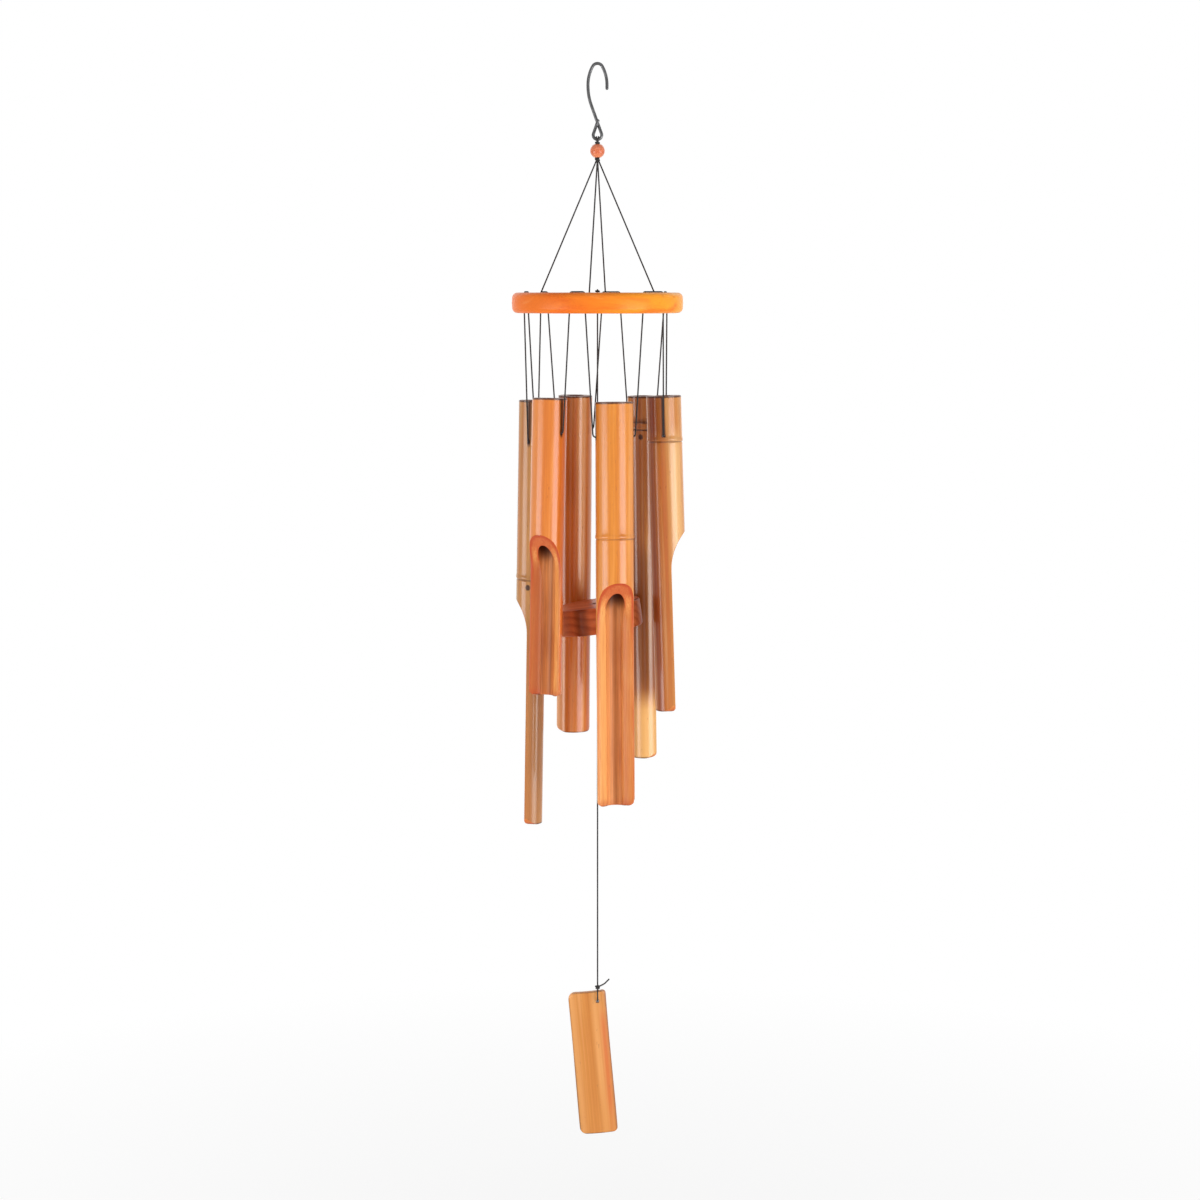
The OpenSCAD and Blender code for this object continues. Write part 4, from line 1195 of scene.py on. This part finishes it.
def make_tube(i):
    culm = Culm(i)
    along = Vector((sin(culm.twist), cos(culm.twist), 0)).to_track_quat("Z", "Y").to_matrix()
    mesh = bamboo_mesh(f"bamboo_tube_{i}", tube_form(culm), 2 * culm.r, along.to_4x4())
    paint_tube(mesh, culm)
    true_normals(mesh, culm)
    place = tube_place(i) @ Matrix.Rotation(-culm.lean, 4, "Y") @ Matrix.Rotation(culm.twist, 4, "Z")
    slot = next(s["material_slot"] for s in frame["record"]["subparts"] if s["node"] == f"tube_{i}")
    piece(f"bamboo_tube_{i}", mesh, f"tube_{i}", slot, f"tube_{i}",
          materials=[bamboo_skin(f"bamboo_skin_{i}", TUBES[i].tone), CUT_LOOK, INSIDE_LOOK], place=place)


# Sail

SAIL_COLUMNS, SAIL_ROWS, END_ROWS = 26, 26, 8
SAIL_END, SAIL_END_RUN = 5.0 * MM, 8 * MM
SAIL_LEFT = SAIL_HOLE_SIDE - SAIL_W
SAIL_RIGHT = SAIL_HOLE_SIDE
SAIL_TOP = SAIL_HOLE_TOP - HOLE_RISE
SAIL_FOOT = SAIL_TOP - SAIL_LEN
SAIL_CORNERS = {("left", "top"): 4.8 * MM, ("right", "top"): 2.2 * MM,
                ("left", "foot"): 4.2 * MM, ("right", "foot"): 2.6 * MM}


def sail_inset(side, z):
    """How far a rounded corner brings the sail's outline in at a height."""
    best = 0.0
    for end, away in (("top", SAIL_TOP - z), ("foot", z - SAIL_FOOT)):
        r = SAIL_CORNERS[side, end]
        if away < r:
            best = max(best, r - sqrt(max(r ** 2 - (r - away) ** 2, 0)))
    return best


def sail_sheet(heights, depth):
    """The rows of points on the front or back of the sail, which is bowed across its width."""
    middle = (SAIL_LEFT + SAIL_RIGHT) / 2
    bow = SAIL_CURVE - sqrt(SAIL_CURVE ** 2 - (SAIL_W / 2) ** 2)
    axis_y = SAIL_CURVE - (SAIL_T + bow) / 2
    inward = EDGE_PULL if depth == 0 else -EDGE_PULL
    rows = []
    for z in heights:
        a = SAIL_LEFT + sail_inset("left", z)
        b = SAIL_RIGHT - sail_inset("right", z)
        edge = EDGE_ROUND / (b - a)
        row = []
        for share in [0, *np.linspace(edge, 1 - edge, SAIL_COLUMNS), 1]:
            x = a + (b - a) * share + 0.25 * MM * sin(z / (16 * MM)) * (share - 0.5)
            y = axis_y - sqrt((SAIL_CURVE - depth) ** 2 - (x - middle) ** 2)
            on_edge = share in (0, 1) or z in (heights[0], heights[-1])
            row.append(Vector((x, y + inward * on_edge, z)))
        rows.append(row)
    return rows


def sheet_rim(rows):
    """The points round the edge of a sheet."""
    return rows[0] + [r[-1] for r in rows[1:]] + rows[-1][-2::-1] + [r[0] for r in rows[-2:0:-1]]


def paint_sail(mesh):
    """Numbers for the materials: painted shade along the outline and the right edge, painted highlights, and a red
    strip down the right side.
    """
    x, _, z = points_of(mesh).T
    share = (x - SAIL_LEFT) / SAIL_W
    down = (SAIL_TOP - z) / SAIL_LEN
    near = np.minimum.reduce([x - SAIL_LEFT, SAIL_RIGHT - x, SAIL_TOP - z, z - SAIL_FOOT])
    drill_burn = fade(STRING_HOLE_R, STRING_HOLE_R + 0.8 * MM, np.hypot(x, z + HOLE_RISE))
    # Painted highlights: a pale band at two thirds of the width, and one near the left edge
    band = 0.65 * bell((share - 0.68) / 0.08) * (1 - 0.5 * smooth(0.5, 0.9, down))
    left_band = 0.6 * bell((share - 0.1) / 0.09)
    strip = bell((share - 0.88) / 0.08) * smooth(0.08, 0.25, down) * (1 - 0.7 * smooth(0.75, 0.95, down))
    none = np.zeros(len(x))
    # Painted shade along the outline
    worn = 0.62 * fade(0.2 * MM, 1.0 * MM, near)
    # Painted shade at the right edge, and the painted highlights as light
    give(mesh, scorch=np.maximum(worn, 0.9 * drill_burn), edge=none, hollow=none,
         shade=0.5 * smooth(0.93, 1.0, share), light=np.maximum(band, left_band), red=0.65 * strip)


def make_sail():
    """A split of bamboo with worn corners and a hole near its upper right corner."""
    ends = [SAIL_END * (1 - cos(PI / 2 * k / END_ROWS)) for k in range(END_ROWS + 1)]
    heights = [SAIL_TOP - e for e in ends]
    heights += list(np.linspace(SAIL_TOP - SAIL_END_RUN, SAIL_FOOT + SAIL_END_RUN, SAIL_ROWS))
    heights += [SAIL_FOOT + e for e in reversed(ends)]
    form = bmesh.new()
    front, back = sail_sheet(heights, 0.0), sail_sheet(heights, SAIL_T)
    add_grid(form, front, SKIN)
    add_grid(form, back, LINING)
    centre = Vector(((SAIL_LEFT + SAIL_RIGHT) / 2, 0, (SAIL_TOP + SAIL_FOOT) / 2))
    walls = []
    for a, b in zip(sheet_rim(front), sheet_rim(back)):
        out = a - centre
        out = Vector((out.x * 3, 0, out.z * 0.3)).normalized() * 0.12 * MM
        walls.append([a, *(a.lerp(b, share) + out for share in (0.15, 0.5, 0.85)), b])
    add_grid(form, [*walls, walls[0]], FACE)
    mesh = bamboo_mesh("bamboo_sail", form, 15 * MM, Matrix.Rotation(PI / 2, 4, "X"))
    paint_sail(mesh)
    piece("bamboo_sail", mesh, "sail", "sail_bamboo", "sail", place=hung_at(SAIL_LOOP_Z, SAIL_TILT),
          materials=[bamboo_skin("sail_skin", SLAT), CUT_LOOK, INSIDE_LOOK])


# The pieces

for k in (1, 2, 3, 4):
    make_suspension(k)
make_hanger()
for i in TUBES:
    make_tube_cord(i)
make_lacing()
make_centre_cord()
make_sail_knot()
make_hook()
make_bead()
make_disc()
make_striker()
for i in TUBES:
    make_tube(i)
make_sail()


# Floor, light and camera

FLOOR_Z = cad_low.z - 110 * MM
FLOOR_R = 1.6
FLOOR_GREY = 0.86
WORLD_LIGHT = 0.4
CAMERA_DISTANCE = 1.7
CAMERA_EYE = DISC_TOP - 0.8 * MM
CAMERA_RIGHT = 1.6 * MM
CAMERA_PITCH = radians(6.6)
CAMERA_LENS = 79.4
# Name, azimuth from the front towards +X, distance, height, size and power
SOFTBOXES = (
    ("left_softbox", -60, 1.3, -0.5, (0.85, 0.55), 8.4),
    ("right_softbox", 50, 1.3, -0.5, (0.9, 0.65), 11.5),
    ("back_softbox", 180, 1.7, 0.5, (2.6, 2.0), 9),
    ("front_fill", 6, 1.7, 1.1, (1.2, 0.8), 3),
)


def bare_tree(owner):
    """The emptied node tree of a material or world."""
    owner.use_nodes = True
    owner.node_tree.nodes.clear()
    return Nodes(owner.node_tree)


def seen_rays(nodes):
    """1 for rays that show the background: from the camera, in a reflection or through glass."""
    total = nodes.add("ShaderNodeLightPath", {}, "Is Camera Ray")
    path = total.node
    for name in ("Is Glossy Ray", "Is Transmission Ray"):
        total = nodes.add("ShaderNodeMath", {0: total, 1: path.outputs[name]}, operation="MAXIMUM")
    return total


def make_floor():
    """A pale round floor whose rim fades into the white around it."""
    form = bmesh.new()
    bmesh.ops.create_circle(form, cap_ends=True, segments=96, radius=FLOOR_R)
    floor = add_object("floor", bpy.data.meshes.new("floor"))
    form.to_mesh(floor.data)
    form.free()
    floor.location = (0, 0, FLOOR_Z)
    material = bpy.data.materials.new("pale_floor")
    nodes = bare_tree(material)
    grey = nodes.add("ShaderNodeBsdfDiffuse", {"Color": (FLOOR_GREY, FLOOR_GREY, FLOOR_GREY, 1)})
    white = nodes.add("ShaderNodeEmission", {"Strength": 1.0})
    coords = nodes.add("ShaderNodeTexCoord", {}, "Object")
    distance = nodes.add("ShaderNodeVectorMath", {0: coords}, "Value", operation="LENGTH")
    whiter = nodes.add("ShaderNodeMapRange", {
        "Value": distance, "From Min": 0.1, "From Max": 0.8, "To Min": 0.8, "To Max": 1.0}, "Result")
    share = nodes.add("ShaderNodeMath", {0: seen_rays(nodes), 1: whiter}, operation="MULTIPLY")
    mixed = nodes.add("ShaderNodeMixShader", {"Fac": share, 1: grey, 2: white})
    nodes.add("ShaderNodeOutputMaterial", {"Surface": mixed})
    floor.data.materials.append(material)


def make_world():
    """White to the eye, and an even, weaker light on the object."""
    world = bpy.data.worlds.new("studio")
    nodes = bare_tree(world)
    weak, full = [nodes.add("ShaderNodeBackground", {"Color": (1, 1, 1, 1), "Strength": strength})
                  for strength in (WORLD_LIGHT, 1.0)]
    mixed = nodes.add("ShaderNodeMixShader", {"Fac": seen_rays(nodes), 1: weak, 2: full})
    nodes.add("ShaderNodeOutputWorld", {"Surface": mixed})
    bpy.context.scene.world = world


def add_softbox(name, azimuth, distance, height, size, watts):
    """A soft rectangular lamp that faces the middle of the chime."""
    lamp = bpy.data.lights.new(name, "AREA")
    lamp.shape = "RECTANGLE"
    lamp.size, lamp.size_y = size
    lamp.energy = watts
    obj = add_object(name, lamp)
    target = Vector((0, 0, (cad_low.z + cad_high.z) / 2))
    obj.location = around(radians(azimuth), distance, height)
    obj.rotation_euler = (target - obj.location).to_track_quat("-Z", "Y").to_euler()
    obj.visible_camera = False


def make_camera():
    camera = bpy.data.cameras.new("camera")
    camera.lens = CAMERA_LENS
    camera.sensor_width = 36
    obj = add_object("camera", camera)
    obj.location = (CAMERA_RIGHT, -CAMERA_DISTANCE, CAMERA_EYE)
    obj.rotation_euler = (PI / 2 - CAMERA_PITCH, 0, 0)
    bpy.context.scene.camera = obj


make_floor()
make_world()
for softbox in SOFTBOXES:
    add_softbox(*softbox)
make_camera()

bpy.context.scene.view_settings.view_transform = "Standard"
